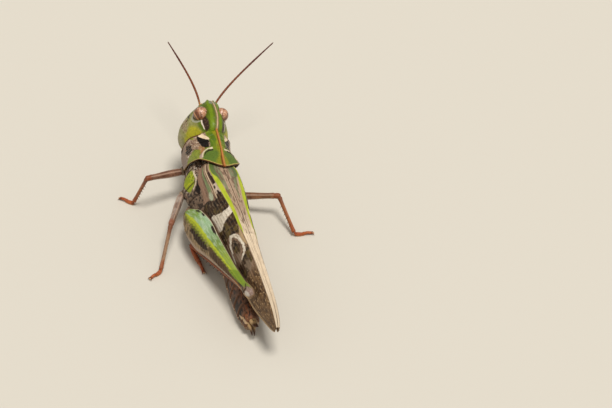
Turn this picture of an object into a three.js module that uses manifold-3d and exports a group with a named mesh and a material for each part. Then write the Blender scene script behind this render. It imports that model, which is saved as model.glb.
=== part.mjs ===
// A band-winged grasshopper, an adult female, standing on all six feet with her wings folded.
// Millimetres, +Z up, head toward -Y, her left side toward +X, feet on z = 0.
// Body axes: u forward along the back, l to her left, z up, all from the hind tip of the pronotum.
import * as THREE from "three";
import { mergeVertices } from "three/addons/utils/BufferGeometryUtils.js";
import Module from "manifold-3d";

// ---- driving dimensions ----
const PRONOTUM_LENGTH = 7.6;
const LOBE_DEPTH = 6.2;             // how far the pronotum's side lobes hang below the back
const WING_END = 28.9;              // wing tips behind the pronotum's hind tip
const WING_THICK = 0.5;
const HIND_FEMUR_DEPTH = 4.7;
const HIND_FEMUR_THICK = 2.3;
const ANTENNA_LENGTH = 13.2;
const ANTENNA_RADIUS = 0.28;
const BEND_AT = 0.25;               // share of the antenna's length where it bends outward
const GAP = 0.07;                   // clearance between neighbouring pieces
// stance
const BACK_HEIGHT = 10.4;           // hind tip of the pronotum above the floor
const BODY_PITCH = 4.5;             // degrees, head up
const BODY_ROLL = 17;               // degrees, left side up
const FRONT_PITCH = 3;              // pronotum and head raised a little more
const FRONT_YAW = -4.5;             // and turned to her right
const FRONT_ROLL = 1.5;              // with the left side further up
const PLACE = [-0.49, -1.478];     // shifts the whole animal so that its box is centred on the origin

const wasm = await Module();
wasm.setup();

// ---- small helpers ----
const RAD = Math.PI / 180;
const V = (x = 0, y = 0, z = 0) => new THREE.Vector3(x, y, z);
const lerp = THREE.MathUtils.lerp;
const count = (n) => [...Array(n).keys()];
const power = (x, e) => Math.sign(x) * Math.abs(x) ** e;
const B = (u, l, z) => V(l, -u, z); // body axes to model axes

// Smooth curve through rows [t, a, b, ...] that never overshoots a row (monotone cubic).
function through(rows) {
  const last = rows.length - 1;
  const columns = count(rows[0].length - 1);
  const rate = count(last).map((i) => {
    const run = rows[i + 1][0] - rows[i][0];
    return columns.map((k) => (rows[i + 1][k + 1] - rows[i][k + 1]) / run);
  });
  const slope = rows.map((_, i) => columns.map((k) => {
    const before = rate[Math.max(i - 1, 0)][k];
    const after = rate[Math.min(i, last - 1)][k];
    return before * after <= 0 ? 0 : 2 * before * after / (before + after);
  }));
  return (t) => {
    let i = 0;
    while (i < last - 1 && t > rows[i + 1][0]) i++;
    const run = rows[i + 1][0] - rows[i][0];
    const x = THREE.MathUtils.clamp((t - rows[i][0]) / run, 0, 1);
    const ease = x * x * (3 - 2 * x);
    return columns.map((k) => lerp(rows[i][k + 1], rows[i + 1][k + 1], ease)
      + run * x * (1 - x) * ((1 - x) * slope[i][k] - x * slope[i + 1][k]));
  };
}

function geometryOf(positions, faces) {
  const g = new THREE.BufferGeometry();
  g.setAttribute("position", new THREE.Float32BufferAttribute(positions, 3));
  g.setIndex(faces);
  return g;
}

// Turns the faces round if they point inwards.
function outward(g) {
  const p = g.attributes.position;
  const k = [...g.index.array];
  let volume = 0;
  for (let i = 0; i < k.length; i += 3) {
    const [a, b, c] = [0, 1, 2].map((j) => V().fromBufferAttribute(p, k[i + j]));
    volume += a.dot(b.cross(c));
  }
  if (volume < 0) g.setIndex(k.reverse());
  return g;
}

// Closed skin over a list of rings, with a fan closing each end.
function loft(rings) {
  const n = rings[0].length;
  const positions = rings.flat().flatMap((p) => [p.x, p.y, p.z]);
  const faces = [];
  for (let i = 0; i < rings.length - 1; i++) {
    for (let j = 0; j < n; j++) {
      const a = i * n + j;
      const b = i * n + (j + 1) % n;
      faces.push(a, b, b + n, a, b + n, a + n);
    }
  }
  const close = (ring, start, order) => {
    const middle = V();
    ring.forEach((p) => middle.addScaledVector(p, 1 / n));
    const centre = positions.push(middle.x, middle.y, middle.z) / 3 - 1;
    count(n).forEach((j) => faces.push(centre, start + (j + order) % n, start + (j + 1 - order) % n));
  };
  close(rings[0], 0, 1);
  close(rings.at(-1), (rings.length - 1) * n, 0);
  return outward(geometryOf(positions, faces));
}

// Ring of n points: centre plus two half axes, starting half a step in so that a flat lies level.
function ringOf(n, centre, half1, half2, e1 = 1, e2 = 1) {
  return count(n).map((j) => {
    const a = 2 * Math.PI * (j + 0.5) / n;
    const p = centre.clone().addScaledVector(half1, power(Math.cos(a), e1));
    return p.addScaledVector(half2, power(Math.sin(a), e2));
  });
}

function inflate(g, by) {
  const fat = mergeVertices(g.clone(), 1e-5);
  fat.computeVertexNormals();
  const { position, normal } = fat.attributes;
  for (let i = 0; i < position.count; i++) {
    const p = V().fromBufferAttribute(position, i).addScaledVector(V().fromBufferAttribute(normal, i), by);
    position.setXYZ(i, p.x, p.y, p.z);
  }
  fat.deleteAttribute("normal");
  return fat;
}

function toManifold(g) {
  const merged = mergeVertices(g, 1e-5);
  return new wasm.Manifold(new wasm.Mesh({
    numProp: 3,
    vertProperties: new Float32Array(merged.attributes.position.array),
    triVerts: new Uint32Array(merged.index.array),
  }));
}

// The largest connected piece of a cut solid, as geometry.
function largestPiece(solid) {
  const pieces = solid.decompose();
  const mesh = pieces.sort((a, b) => b.volume() - a.volume())[0].getMesh();
  const step = mesh.numProp;
  const corners = count(mesh.numVert).map((i) => [...mesh.vertProperties.slice(i * step, i * step + 3)]);
  return geometryOf(corners.flat(), [...mesh.triVerts]);
}

function cut(g, others) {
  const take = (solid, other) => solid.subtract(toManifold(inflate(other, GAP)));
  return largestPiece(others.reduce(take, toManifold(g)));
}

// ---- frames: the body, and the pronotum with the head, which is turned on it ----
const bodyGroup = new THREE.Group();
bodyGroup.position.set(PLACE[0], PLACE[1], BACK_HEIGHT);
bodyGroup.rotation.set(-BODY_PITCH * RAD, -BODY_ROLL * RAD, 0, "XYZ");
const frontGroup = new THREE.Group();
frontGroup.rotation.set(-FRONT_PITCH * RAD, -FRONT_ROLL * RAD, FRONT_YAW * RAD, "ZXY");
bodyGroup.add(frontGroup);
bodyGroup.updateMatrixWorld(true);
const BODY = bodyGroup.matrixWorld;
const FRONT = frontGroup.matrixWorld;
const BODY_TO_FRONT = frontGroup.matrix.clone().invert();
const moved = (g, matrix) => g.clone().applyMatrix4(matrix);
const bodyToFront = (g) => moved(g, BODY_TO_FRONT);
const onBody = (u, l, z) => B(u, l, z).applyMatrix4(BODY);
// a place in the room: forward and left of the hind tip of the pronotum, and a height above the floor
const onFloor = (forward, left, z) => V(left + PLACE[0], -forward + PLACE[1], z);

// ---- pronotum: a waisted saddle with a ridge along the back and hanging side lobes ----
function pronotumSolid() {
  const P = PRONOTUM_LENGTH;
  const D = LOBE_DEPTH;
  // half sections at the hind edge, the waist and the front edge: [share of the half, l, z]
  const rear = through([
    [0, 0, 0], [0.40, 2.8, -1.0], [0.55, 3.15, -1.95], [0.68, 3.3, -3.0], [1, 3.35, -D + 0.5]]);
  const waist = through([[0, 0, 0.2], [0.30, 1.15, -0.5], [0.66, 2.95, -3.0], [1, 3.3, -D + 0.3]]);
  const front = through([[0, 0, 0.12], [0.32, 1.5, -0.85], [0.66, 3.1, -2.9], [1, 3.3, -D + 0.9]]);
  // where the two edges run, from the ridge down the side: [share of the half, u]
  const rearEdge = through([
    [0, 0], [0.1, 0.38], [0.2, 0.95], [0.40, 1.9], [0.6, 2.85], [0.8, 3.8], [1, 4.3]]);
  const frontEdge = through([
    [0, P], [0.2, P - 0.25], [0.34, P - 0.35], [0.66, P + 0.15], [0.85, P + 0.3], [1, P + 0.2]]);
  const WAIST_AT = 0.6;
  const LENGTHWISE = 7;
  const HALF = 10;
  return loft(count(LENGTHWISE + 1).map((i) => count(2 * HALF + 1).map((j) => {
    const t = i / LENGTHWISE;
    const s = j / HALF - 1;
    const a = Math.abs(s);
    const behind = t < WAIST_AT;
    const share = behind ? t / WAIST_AT : (t - WAIST_AT) / (1 - WAIST_AT);
    const ease = THREE.MathUtils.smoothstep(share, 0, 1);
    const [from, to] = behind ? [rear(a), waist(a)] : [waist(a), front(a)];
    const u = lerp(rearEdge(a)[0], frontEdge(a)[0], t);
    return B(u, Math.sign(s) * lerp(from[0], to[0], ease), lerp(from[1], to[1], ease));
  })));
}

// ---- head: a tall capsule on level rings; eyes, upper lip and palps ----
function headSolid() {
  // height, back, front, half width
  const rows = [
    [-7.3, 9.4, 12.0, 1.7], [-6.7, 8.7, 12.5, 2.5], [-5.7, 7.9, 12.85, 3.2],
    [-4.2, 7.2, 13.1, 3.4], [-2.6, 6.9, 13.2, 3.05], [-1.2, 6.9, 13.15, 2.35],
    [-0.1, 7.0, 12.9, 1.6], [0.6, 7.6, 12.4, 1.1], [0.95, 8.6, 11.8, 0.65]];
  const SQUARENESS = 0.8;
  return loft(rows.map(([z, back, front, half]) => {
    const middle = B((back + front) / 2, 0, z);
    return ringOf(18, middle, B((front - back) / 2, 0, 0), B(0, half, 0), SQUARENESS, SQUARENESS);
  }));
}

function eyeSolid(side) {
  const lean = 8 * RAD; // the tops lean back, and outward
  const [forward, apart, high] = [10.57, 1.5, -0.2];
  const turned = [0.1, 0.06, 0.12]; // the head is turned a little on the pronotum, so one eye lies lower
  const ball = new THREE.SphereGeometry(1, 16, 10);
  ball.deleteAttribute("normal");
  ball.deleteAttribute("uv");
  const eye = mergeVertices(ball, 1e-5);
  eye.rotateX(Math.PI / 2);
  eye.scale(1.03, 0.88, 1.08);
  eye.rotateX(-lean);
  eye.rotateY(side * lean);
  eye.translate(side * apart + turned[0], -forward + side * turned[1], high - side * turned[2]);
  return outward(eye);
}

function labrumSolid() {
  // centre u and z, half length and half width of a level ring
  const rows = [
    [12.15, -5.9, 0.35, 1.0], [12.2, -6.6, 0.42, 1.25], [12.05, -7.4, 0.42, 1.2], [11.75, -8.2, 0.3, 0.7]];
  return loft(rows.map(([u, z, long, half]) => ringOf(10, B(u, 0, z), B(long, 0, 0), B(0, half, 0))));
}

const palpSolid = (side) => limb(B(11.3, side * 0.95, -7.5), B(11.5, side * 1.15, -8.7), V(1, 0, 0),
  [[0, 0.26, 0.26], [0.5, 0.3, 0.3], [1, 0.25, 0.25]], 6);

// ---- trunk: rings standing across the body ----
// rows: distance aft, half width, top, bottom, sideways shift
const thoraxShape = through([
  [-6.4, 1.9, -1.9, -7.2, -0.2], [-4, 2.95, -1.9, -7.8, 0.1], [-1.5, 3.45, -2.0, -8.1, 0.25],
  [2, 3.3, -2.0, -8.2, 0.2], [5, 2.5, -2.1, -8.1, 0.1], [6.9, 1.8, -2.2, -8.1, 0.1]]);
const abdomenShape = through([
  [6.9, 1.95, -2.25, -8.1, 0.1], [12, 1.75, -2.6, -8.6, 0.2], [17, 1.55, -3.6, -8.9, 0.35],
  [21, 1.25, -4.9, -8.75, 0.5], [23.2, 0.9, -5.9, -8.2, 0.5]]);
const valvesShape = through([
  [23.27, 0.75, -6.0, -8.0, 0.5], [24.1, 0.6, -6.0, -7.9, 0.5], [24.9, 0.35, -6.0, -7.5, 0.5]]);
function trunk(shape, from, to, steps, taper = 0) {
  return loft(count(steps + 1).map((i) => {
    const aft = lerp(from, to, i / steps);
    const [half, top, bottom, shift] = shape(aft);
    const middle = (top + bottom) / 2;
    const high = (top - bottom) / 2;
    const ring = ringOf(16, B(-aft, shift, middle), B(0, half, 0), B(0, 0, high), 0.75, 0.85);
    // taper narrows the section toward the back, where the wings lie
    return ring.map((p) => V(shift + (p.x - shift) * (1 - taper * (p.z - middle) / high), p.y, p.z));
  }));
}

// ---- wings: two stiff folded forewings meeting along the back, their tips upright behind the body ----
const wingShape = through([
  // aft, then l and z of the inner edge, the shoulder line, the flank and the lower edge
  [-1.9, 0.06, -0.80, 1.55, -1.05, 2.35, -2.0, 2.6, -2.9],
  [0, 0.06, -0.50, 2.05, -0.85, 2.75, -2.4, 3.0, -3.8],
  [3.5, 0.06, -0.30, 1.85, -0.65, 2.75, -2.7, 2.95, -5.0],
  [8.5, 0.06, -0.25, 1.20, -0.52, 2.18, -2.9, 2.20, -5.4],
  [13, 0.06, -0.25, 0.78, -0.48, 1.78, -2.9, 1.85, -5.3],
  [18, 0.06, -0.35, 0.50, -0.55, 1.42, -2.7, 1.45, -4.9],
  [23, 0.06, -0.65, 0.45, -0.80, 1.10, -2.6, 1.20, -4.4],
  [26, 0.06, -1.05, 0.36, -1.15, 0.75, -2.5, 0.80, -3.8],
  [28, 0.06, -1.65, 0.28, -1.70, 0.46, -2.4, 0.50, -3.3],
  [WING_END, 0.06, -2.1, 0.20, -2.14, 0.28, -2.5, 0.30, -3.0]]);
function wingPoint(aft, s) {
  const r = wingShape(aft);
  return through([[0, r[0], r[1]], [0.28, r[2], r[3]], [0.64, r[4], r[5]], [1, r[6], r[7]]])(s);
}
function wingSolid(side) {
  const ACROSS = 7;
  const MIDLINE = 0.06; // each wing stops short of the midline
  const stations = [-1.9, 0, 3.5, 8.5, 13, 18, 23, 26, 28, WING_END];
  return loft(stations.map((aft) => {
    const thick = Math.min(WING_THICK, 0.2 + 0.9 * (WING_END - aft));
    const outer = [];
    const inner = [];
    for (const j of count(ACROSS + 1)) {
      const s = j / ACROSS;
      const [l, z] = wingPoint(aft, s);
      const [l0, z0] = wingPoint(aft, Math.max(s - 0.02, 0));
      const [l1, z1] = wingPoint(aft, Math.min(s + 0.02, 1));
      const run = Math.hypot(l1 - l0, z1 - z0);
      const inset = l + thick * (z1 - z0) / run;
      const sunk = z - thick * (l1 - l0) / run - (inset < MIDLINE ? 0.2 : 0);
      outer.push(B(-aft, side * l, z));
      inner.unshift(B(-aft, side * Math.max(inset, MIDLINE), sunk));
    }
    return [...outer, ...inner];
  }));
}

// The folded hind wings, one thin blade between the forewings.
function hindWingsSolid() {
  const rows = [
    [9, 0.8, -1.25, -1.95], [14, 0.6, -1.3, -2.15], [19, 0.5, -1.6, -2.9],
    [23, 0.38, -1.9, -3.6], [26, 0.2, -2.2, -3.3], [27, 0.15, -2.4, -2.9]];
  return loft(rows.map(([aft, half, top, bottom]) =>
    ringOf(8, B(-aft, 0, (top + bottom) / 2), B(0, half, 0), B(0, 0, (top - bottom) / 2))));
}

// ---- limbs: rings set along a line between two joints ----
// rows: share of the length, half size along `out`, half size across it, shift along `out`
function limb(start, end, out, rows, n = 8) {
  const axis = end.clone().sub(start);
  const across = V().crossVectors(axis, out).normalize();
  const side = V().crossVectors(across, axis).normalize();
  return loft(rows.map(([t, along, high, shift = 0]) => ringOf(n,
    start.clone().addScaledVector(axis, t).addScaledVector(side, shift),
    side.clone().multiplyScalar(along), across.clone().multiplyScalar(high))));
}

// Foot pads: what comes near the floor is pressed flat on it.
function standing(foot) {
  const p = foot.attributes.position;
  for (let i = 0; i < p.count; i++) {
    if (p.getZ(i) < 0.12) p.setZ(i, 0);
  }
  return foot;
}

const UP = V(0, 0, 1);
// the point a given distance from one joint toward the next
const past = (from, to, distance) => from.clone().addScaledVector(to.clone().sub(from).normalize(), distance);
// hips on the body; knees of the walking legs, ankles and toes in the room
const ANKLE = 0.75;
const TOE = 0.3;
const LEGS = {
  front_left: { hip: [6.5, 2.6, -7.0], knee: [5.6, 9.75, 6.05], ankle: [7.6, 11.3], toe: [9.3, 12.9] },
  front_right: { hip: [5.5, -2.4, -7.1], knee: [10.3, -2.9, 4.0], ankle: [9.2, -3.4], toe: [11.2, -3.6] },
  mid_left: { hip: [2.1, 3.65, -7.6], knee: [-3.4, 8.6, 4.9], ankle: [-7.3, 11.1], toe: [-8.3, 12.8] },
  mid_right: { hip: [2.1, -3.2, -7.3], knee: [-0.5, -7.45, 3.8], ankle: [-5.0, -8.3], toe: [-5.4, -10.8] },
  hind_left: {
    hip: [-1.7, 3.75, -7.45], bodyKnee: [-22.6, 1.95, -2.35], ankle: [-3.9, 5.95], toe: [-9.1, 5.6] },
  hind_right: {
    hip: [-1.7, -3.6, -6.7], bodyKnee: [-21.2, -1.9, -5.0], ankle: [-3.2, -2.6], toe: [-8.4, -1.8] },
};

// A walking leg, front or middle: slim femur, thin shin, short foot.
function walkingLeg(hip, knee, ankle, toe) {
  return {
    femur: limb(hip, knee, UP, [
      [0, 0.45, 0.45], [0.08, 0.55, 0.54], [0.4, 0.56, 0.54], [0.8, 0.44, 0.44], [0.95, 0.48, 0.46],
      [1.03, 0.36, 0.36]]),
    tibia: limb(past(knee, ankle, 0.25), ankle, UP,
      [[0, 0.32, 0.32], [0.5, 0.28, 0.28], [0.92, 0.3, 0.3], [1, 0.28, 0.28]]),
    tarsus: limb(ankle, toe, UP,
      [[0.05, 0.27, 0.27], [0.2, 0.34, 0.32, -0.25], [0.5, 0.3, 0.3, -0.15], [0.88, 0.3, 0.3],
        [1, 0.25, 0.25]]),
  };
}

// A jumping leg: a deep flat femur that thins to the knee, and a long shin folded under it.
function jumpingLeg(hip, knee, ankle, toe, side) {
  const outward = V(side * 0.96, 0, 0.28).transformDirection(BODY);
  const T = HIND_FEMUR_THICK / 2;
  const D = HIND_FEMUR_DEPTH / 2;
  return {
    femur: limb(hip, knee, outward, [
      [0, 0.55, 0.9], [0.05, 0.85, 1.35], [0.14, T, D - 0.2], [0.26, T, D - 0.05], [0.42, 1.0, 1.75],
      [0.6, 0.72, 1.2], [0.78, 0.5, 0.78], [0.9, 0.47, 0.64], [0.96, 0.56, 0.78], [1, 0.52, 0.72],
      [1.03, 0.4, 0.5]], 10),
    tibia: limb(past(knee, ankle, 0.5), ankle, V(side, 0, 0),
      [[0, 0.34, 0.5], [0.05, 0.36, 0.46], [0.5, 0.34, 0.38], [0.93, 0.36, 0.4], [1, 0.34, 0.36]]),
    tarsus: limb(ankle, toe, UP, [
      [-0.02, 0.32, 0.3], [0.1, 0.4, 0.38, -0.25], [0.35, 0.36, 0.36, -0.2],
      [0.6, 0.3, 0.3, -0.15], [0.9, 0.3, 0.3], [1, 0.25, 0.25]]),
  };
}

// The short hip piece, from inside the thorax to the femur.
function coxaSolid(leg, hip, side, hind) {
  const inside = onBody(leg.hip[0] + 0.2, leg.hip[1] - side * 1.3, leg.hip[2] + (hind ? 0.2 : 0.4));
  return limb(inside, hip, V(0, 1, 0), hind
    ? [[0, 1.0, 0.8], [0.5, 1.1, 0.9], [0.95, 0.7, 0.7], [1.05, 0.4, 0.5]]
    : [[0, 0.8, 0.7], [0.6, 0.75, 0.7], [1.0, 0.5, 0.5], [1.1, 0.3, 0.35]]);
}

// ---- antenna: a thin tapering whip, curving outward ----
function antennaSolid(base, side, turns, rises) {
  const heading = (turn, rise) => V(Math.sin(turn * RAD) * Math.cos(rise * RAD),
    -Math.cos(turn * RAD) * Math.cos(rise * RAD), Math.sin(rise * RAD));
  const bend = base.clone().addScaledVector(heading(turns[0], rises[0]), ANTENNA_LENGTH * BEND_AT);
  const tip = base.clone().addScaledVector(heading(turns[1], rises[1]), ANTENNA_LENGTH);
  const curve = new THREE.CubicBezierCurve3(base, bend, bend.clone().lerp(tip, 0.4), tip);
  const STEPS = 11;
  const swelling = [0.4, 0.34]; // the two thick joints at the base
  return loft(count(STEPS + 1).map((i) => {
    const along = curve.getTangent(i / STEPS);
    const across = V().crossVectors(along, UP).normalize();
    const radius = swelling[i] ?? ANTENNA_RADIUS;
    return ringOf(6, curve.getPoint(i / STEPS), across.clone().multiplyScalar(radius),
      V().crossVectors(across, along).multiplyScalar(radius));
  }));
}

// ---- assembly ----
const root = new THREE.Group();
root.add(bodyGroup);
const finish = {
  green: ["#6c9a1e", 0.5], dusk: ["#4a3326", 0.65], tan: ["#b59a78", 0.6], lime: ["#9dc23a", 0.5],
  rust: ["#a8532a", 0.5], eye: ["#8a4a2c", 0.2], brown: ["#75503c", 0.6],
};
function put(group, name, geometry, look, at = V()) {
  const [color, roughness] = finish[look];
  const mesh = new THREE.Mesh(
    geometry.clone().translate(-at.x, -at.y, -at.z),
    new THREE.MeshStandardMaterial({ color, roughness, metalness: 0 }));
  mesh.name = name;
  mesh.position.copy(at);
  group.add(mesh);
}

const wings = { left: wingSolid(1), right: wingSolid(-1) };
const bothWings = Object.values(wings);
const thorax = cut(trunk(thoraxShape, -6.4, 6.9, 9, 0.16), bothWings);
put(bodyGroup, "thorax", thorax, "dusk");
put(bodyGroup, "wing_left", wings.left, "dusk");
put(bodyGroup, "wing_right", wings.right, "dusk");
put(bodyGroup, "hind_wings", cut(hindWingsSolid(), bothWings), "tan");
const abdomenPieces = { abdomen_front: [6.97, 12], abdomen_mid: [12.07, 17.5], abdomen_rear: [17.57, 23.2] };
for (const [name, [from, to]] of Object.entries(abdomenPieces)) {
  put(bodyGroup, name, cut(trunk(abdomenShape, from, to, 4), bothWings), "dusk");
}
put(bodyGroup, "ovipositor", trunk(valvesShape, 23.27, 24.9, 2), "tan");

const pronotum = pronotumSolid();
const eyes = { eye_left: eyeSolid(1), eye_right: eyeSolid(-1) };
const labrum = labrumSolid();
const head = cut(headSolid(), [pronotum, bodyToFront(thorax), ...Object.values(eyes), labrum]);
put(frontGroup, "pronotum", cut(pronotum, [thorax, ...bothWings].map(bodyToFront)), "green");
put(frontGroup, "head", head, "green");
for (const [name, eye] of Object.entries(eyes)) put(frontGroup, name, eye, "eye");
put(frontGroup, "labrum", labrum, "tan");
put(frontGroup, "palp_left", cut(palpSolid(1), [head, labrum]), "tan");
put(frontGroup, "palp_right", cut(palpSolid(-1), [head, labrum]), "tan");

const antennae = [
  // name, side, compass turn at the base and to the tip, rise at the base and to the tip
  ["antenna_left", 1, [-8, 6.5], [22, 13.2]],
  ["antenna_right", -1, [-43, -64], [28, 27.5]]];
for (const [name, side, turns, rises] of antennae) {
  const base = B(12.75, side * 0.8, -1.5).applyMatrix4(FRONT);
  put(root, name, cut(antennaSolid(base, side, turns, rises), [moved(head, FRONT)]), "rust", base);
}

const trunkInRoom = [thorax, ...bothWings].map((g) => moved(g, BODY)).concat(moved(pronotum, FRONT));
const wholeAbdomen = moved(trunk(abdomenShape, 6.9, 23.2, 8), BODY);
for (const [key, leg] of Object.entries(LEGS)) {
  const hind = key.startsWith("hind");
  const side = key.endsWith("left") ? 1 : -1;
  const hip = onBody(...leg.hip);
  const knee = leg.bodyKnee ? onBody(...leg.bodyKnee) : onFloor(...leg.knee);
  const ankle = onFloor(...leg.ankle, ANKLE);
  const toe = onFloor(...leg.toe, TOE);
  const make = hind ? jumpingLeg : walkingLeg;
  const pieces = make(hip, knee, ankle, toe, side);
  const femur = cut(pieces.femur, [...trunkInRoom, wholeAbdomen]);
  put(root, "coxa_" + key, cut(coxaSolid(leg, hip, side, hind), [...trunkInRoom, femur]), "dusk", hip);
  put(root, "femur_" + key, femur, hind ? "lime" : "brown", hip);
  put(root, "tibia_" + key, cut(pieces.tibia, [femur]), "rust", knee);
  put(root, "tarsus_" + key, cut(standing(pieces.tarsus), [pieces.tibia]), "rust", ankle);
}

export default root;
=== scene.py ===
# A band-winged grasshopper, an adult female, standing with her wings folded.
# Shapes are in mm. Body axes start at the hind tip of the pronotum: u forward along the back, l to her
# left, z up.
import math
from functools import cache

import bpy
import numpy as np
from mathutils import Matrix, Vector


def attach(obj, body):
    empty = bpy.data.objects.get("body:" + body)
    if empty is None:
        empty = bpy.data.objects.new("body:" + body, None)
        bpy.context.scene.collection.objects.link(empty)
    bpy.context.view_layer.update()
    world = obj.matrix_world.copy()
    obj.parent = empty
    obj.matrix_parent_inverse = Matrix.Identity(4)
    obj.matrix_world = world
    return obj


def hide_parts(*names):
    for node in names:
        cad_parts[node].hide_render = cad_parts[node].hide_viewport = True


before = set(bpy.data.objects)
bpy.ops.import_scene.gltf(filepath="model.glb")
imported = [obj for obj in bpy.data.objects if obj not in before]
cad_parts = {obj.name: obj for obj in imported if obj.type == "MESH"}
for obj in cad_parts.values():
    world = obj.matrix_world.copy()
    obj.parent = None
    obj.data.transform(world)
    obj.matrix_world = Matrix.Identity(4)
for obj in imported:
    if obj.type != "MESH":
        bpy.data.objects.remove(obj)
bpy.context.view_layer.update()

# ---- sizes shared with the CAD part ----
MM = 0.001
PLACE = np.array([-0.49, -1.478, 10.4])
BODY_PITCH, BODY_ROLL = 4.5, 17
FRONT_PITCH, FRONT_YAW, FRONT_ROLL = 3, -4.5, 1.5
PRONOTUM_LENGTH = 7.6
LOBE_DEPTH = 6.2
WING_END = 28.9
ANTENNA_LENGTH = 13.2
ANKLE, TOE = 0.75, 0.3
WORDS = {1: "left", -1: "right"}
# thickness of the pronotum's and the wings' sheets, and half the gap between the wings
PRONOTUM_SHEET, WING_SHEET, WING_GAP = 0.16, 0.13, 0.03
# mm of surface for each degree round the head, the trunk and a hind femur
HEAD_DEGREE, TRUNK_DEGREE, FEMUR_DEGREE = 0.05, 0.06, 0.035
EYE_TILT = 8
UP = np.array([0.0, 0.0, 1.0])
NOWHERE = -9.0  # a marking field's value far outside the marking


# ---- numbers and curves ----
def step(x, low=0.0, high=1.0):
    k = np.clip((x - low) / (high - low), 0, 1)
    return k * k * (3 - 2 * k)


def stack(*parts):
    return np.stack(np.broadcast_arrays(*parts), -1).astype(float)


def curve(x, y, t):
    """The smooth curve through the values y (last axis) at x, read at t. It never overshoots a value."""
    rate = np.diff(y) / np.diff(x)
    before = np.concatenate([rate[..., :1], rate], -1)
    after = np.concatenate([rate, rate[..., -1:]], -1)
    both = before * after
    slope = np.where(both > 0, 2 * both / np.where(before + after == 0, 1, before + after), 0)
    i = np.clip(np.searchsorted(x, t, side="right") - 1, 0, len(x) - 2)
    run = x[i + 1] - x[i]
    k = np.clip((t - x[i]) / run, 0, 1)

    def pick(v, j):
        return v[j] if v.ndim == 1 else np.take_along_axis(v, j[..., None], -1)[..., 0]

    first, last = pick(y, i), pick(y, i + 1)
    return first + (last - first) * step(k) + run * k * (1 - k) * ((1 - k) * pick(slope, i)
        - k * pick(slope, i + 1))


def through(rows):
    """Smooth curves through rows [t, a, b, ...]: a function of t that gives a, b, ..."""
    x, *columns = np.array(rows, float).T
    return lambda t: [curve(x, y, np.asarray(t, float)) for y in columns]


def power(x, e):
    return np.sign(x) * np.abs(x) ** e


def hump(x, width):
    """A smooth rise of height 1 about x = 0."""
    return np.exp(-((x / width) ** 2))


def unit(v):
    return v / np.maximum(np.linalg.norm(v, axis=-1, keepdims=True), 1e-12)


def turn(axis, degrees):
    c, s = math.cos(math.radians(degrees)), math.sin(math.radians(degrees))
    return np.array({"x": [[1, 0, 0], [0, c, -s], [0, s, c]], "y": [[c, 0, s], [0, 1, 0], [-s, 0, c]],
        "z": [[c, -s, 0], [s, c, 0], [0, 0, 1]]}[axis])


BODY = turn("x", -BODY_PITCH) @ turn("y", -BODY_ROLL)
FRONT = BODY @ turn("z", FRONT_YAW) @ turn("x", -FRONT_PITCH) @ turn("y", -FRONT_ROLL)


def room(p, turned=BODY):
    """Body axes (u, l, z) to the room."""
    p = np.asarray(p, float)
    return stack(p[..., 1], -p[..., 0], p[..., 2]) @ turned.T + PLACE


def on_floor(forward, left, z):
    return np.array([left, -forward, z]) + PLACE * [1, 1, 0]


def rings(rows, count):
    """Grids of the row values and of the angles round a ring, count of them to a turn."""
    return np.meshgrid(rows, 2 * np.pi * np.arange(count) / count, indexing="ij")


# ---- markings: signed distances in mm on a surface with coordinates x, y, positive inside ----
def between(x, low, high):
    return np.minimum(x - low, high - x)


def widest(*fields):
    return np.max(np.broadcast_arrays(*fields), axis=0)


def oval(x, y, at, size):
    return (1 - np.hypot((x - at[0]) / size[0], (y - at[1]) / size[1])) * min(size)


def segment_gap(x, y, a, b):
    """Distance to the segment a b, and the share of it reached."""
    dx, dy = b[0] - a[0], b[1] - a[1]
    k = np.clip(((x - a[0]) * dx + (y - a[1]) * dy) / (dx * dx + dy * dy), 0, 1)
    return np.hypot(x - a[0] - k * dx, y - a[1] - k * dy), k


def stroke(x, y, points, width=0.0, end_width=None):
    """A brush stroke along a few points, its width changing to end_width; at 0 it is minus the distance."""
    end_width = width if end_width is None else end_width
    last = len(points) - 1
    gaps = [segment_gap(x, y, a, b) for a, b in zip(points, points[1:])]
    return widest(*((width + (end_width - width) * (i + k) / last) / 2 - gap
        for i, (gap, k) in enumerate(gaps)))


def patch(x, y, corners):
    """A patch with these corners."""
    gap, inside = np.inf, np.zeros(np.shape(x), bool)
    for a, b in zip(corners, corners[1:] + corners[:1]):
        gap = np.minimum(gap, segment_gap(x, y, a, b)[0])
        if a[1] != b[1]:
            inside ^= ((a[1] > y) != (b[1] > y)) & (x < a[0] + (y - a[1]) * (b[0] - a[0]) / (b[1] - a[1]))
    return np.where(inside, gap, -gap)


# ---- surfaces ----
def raised(p, height, wrap=True):
    """A grid of points moved along its normals; wrap joins the last column to the first."""
    q = np.concatenate([p[:, -1:], p, p[:, :1]], 1) if wrap else p
    normal = unit(np.cross(np.gradient(q, axis=0), np.gradient(q, axis=1)))
    return p + (normal[:, 1:-1] if wrap else normal) * np.asarray(height)[..., None]


def added(name, data):
    made = bpy.data.objects.new(name, data)
    bpy.context.scene.collection.objects.link(made)
    return made


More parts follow.
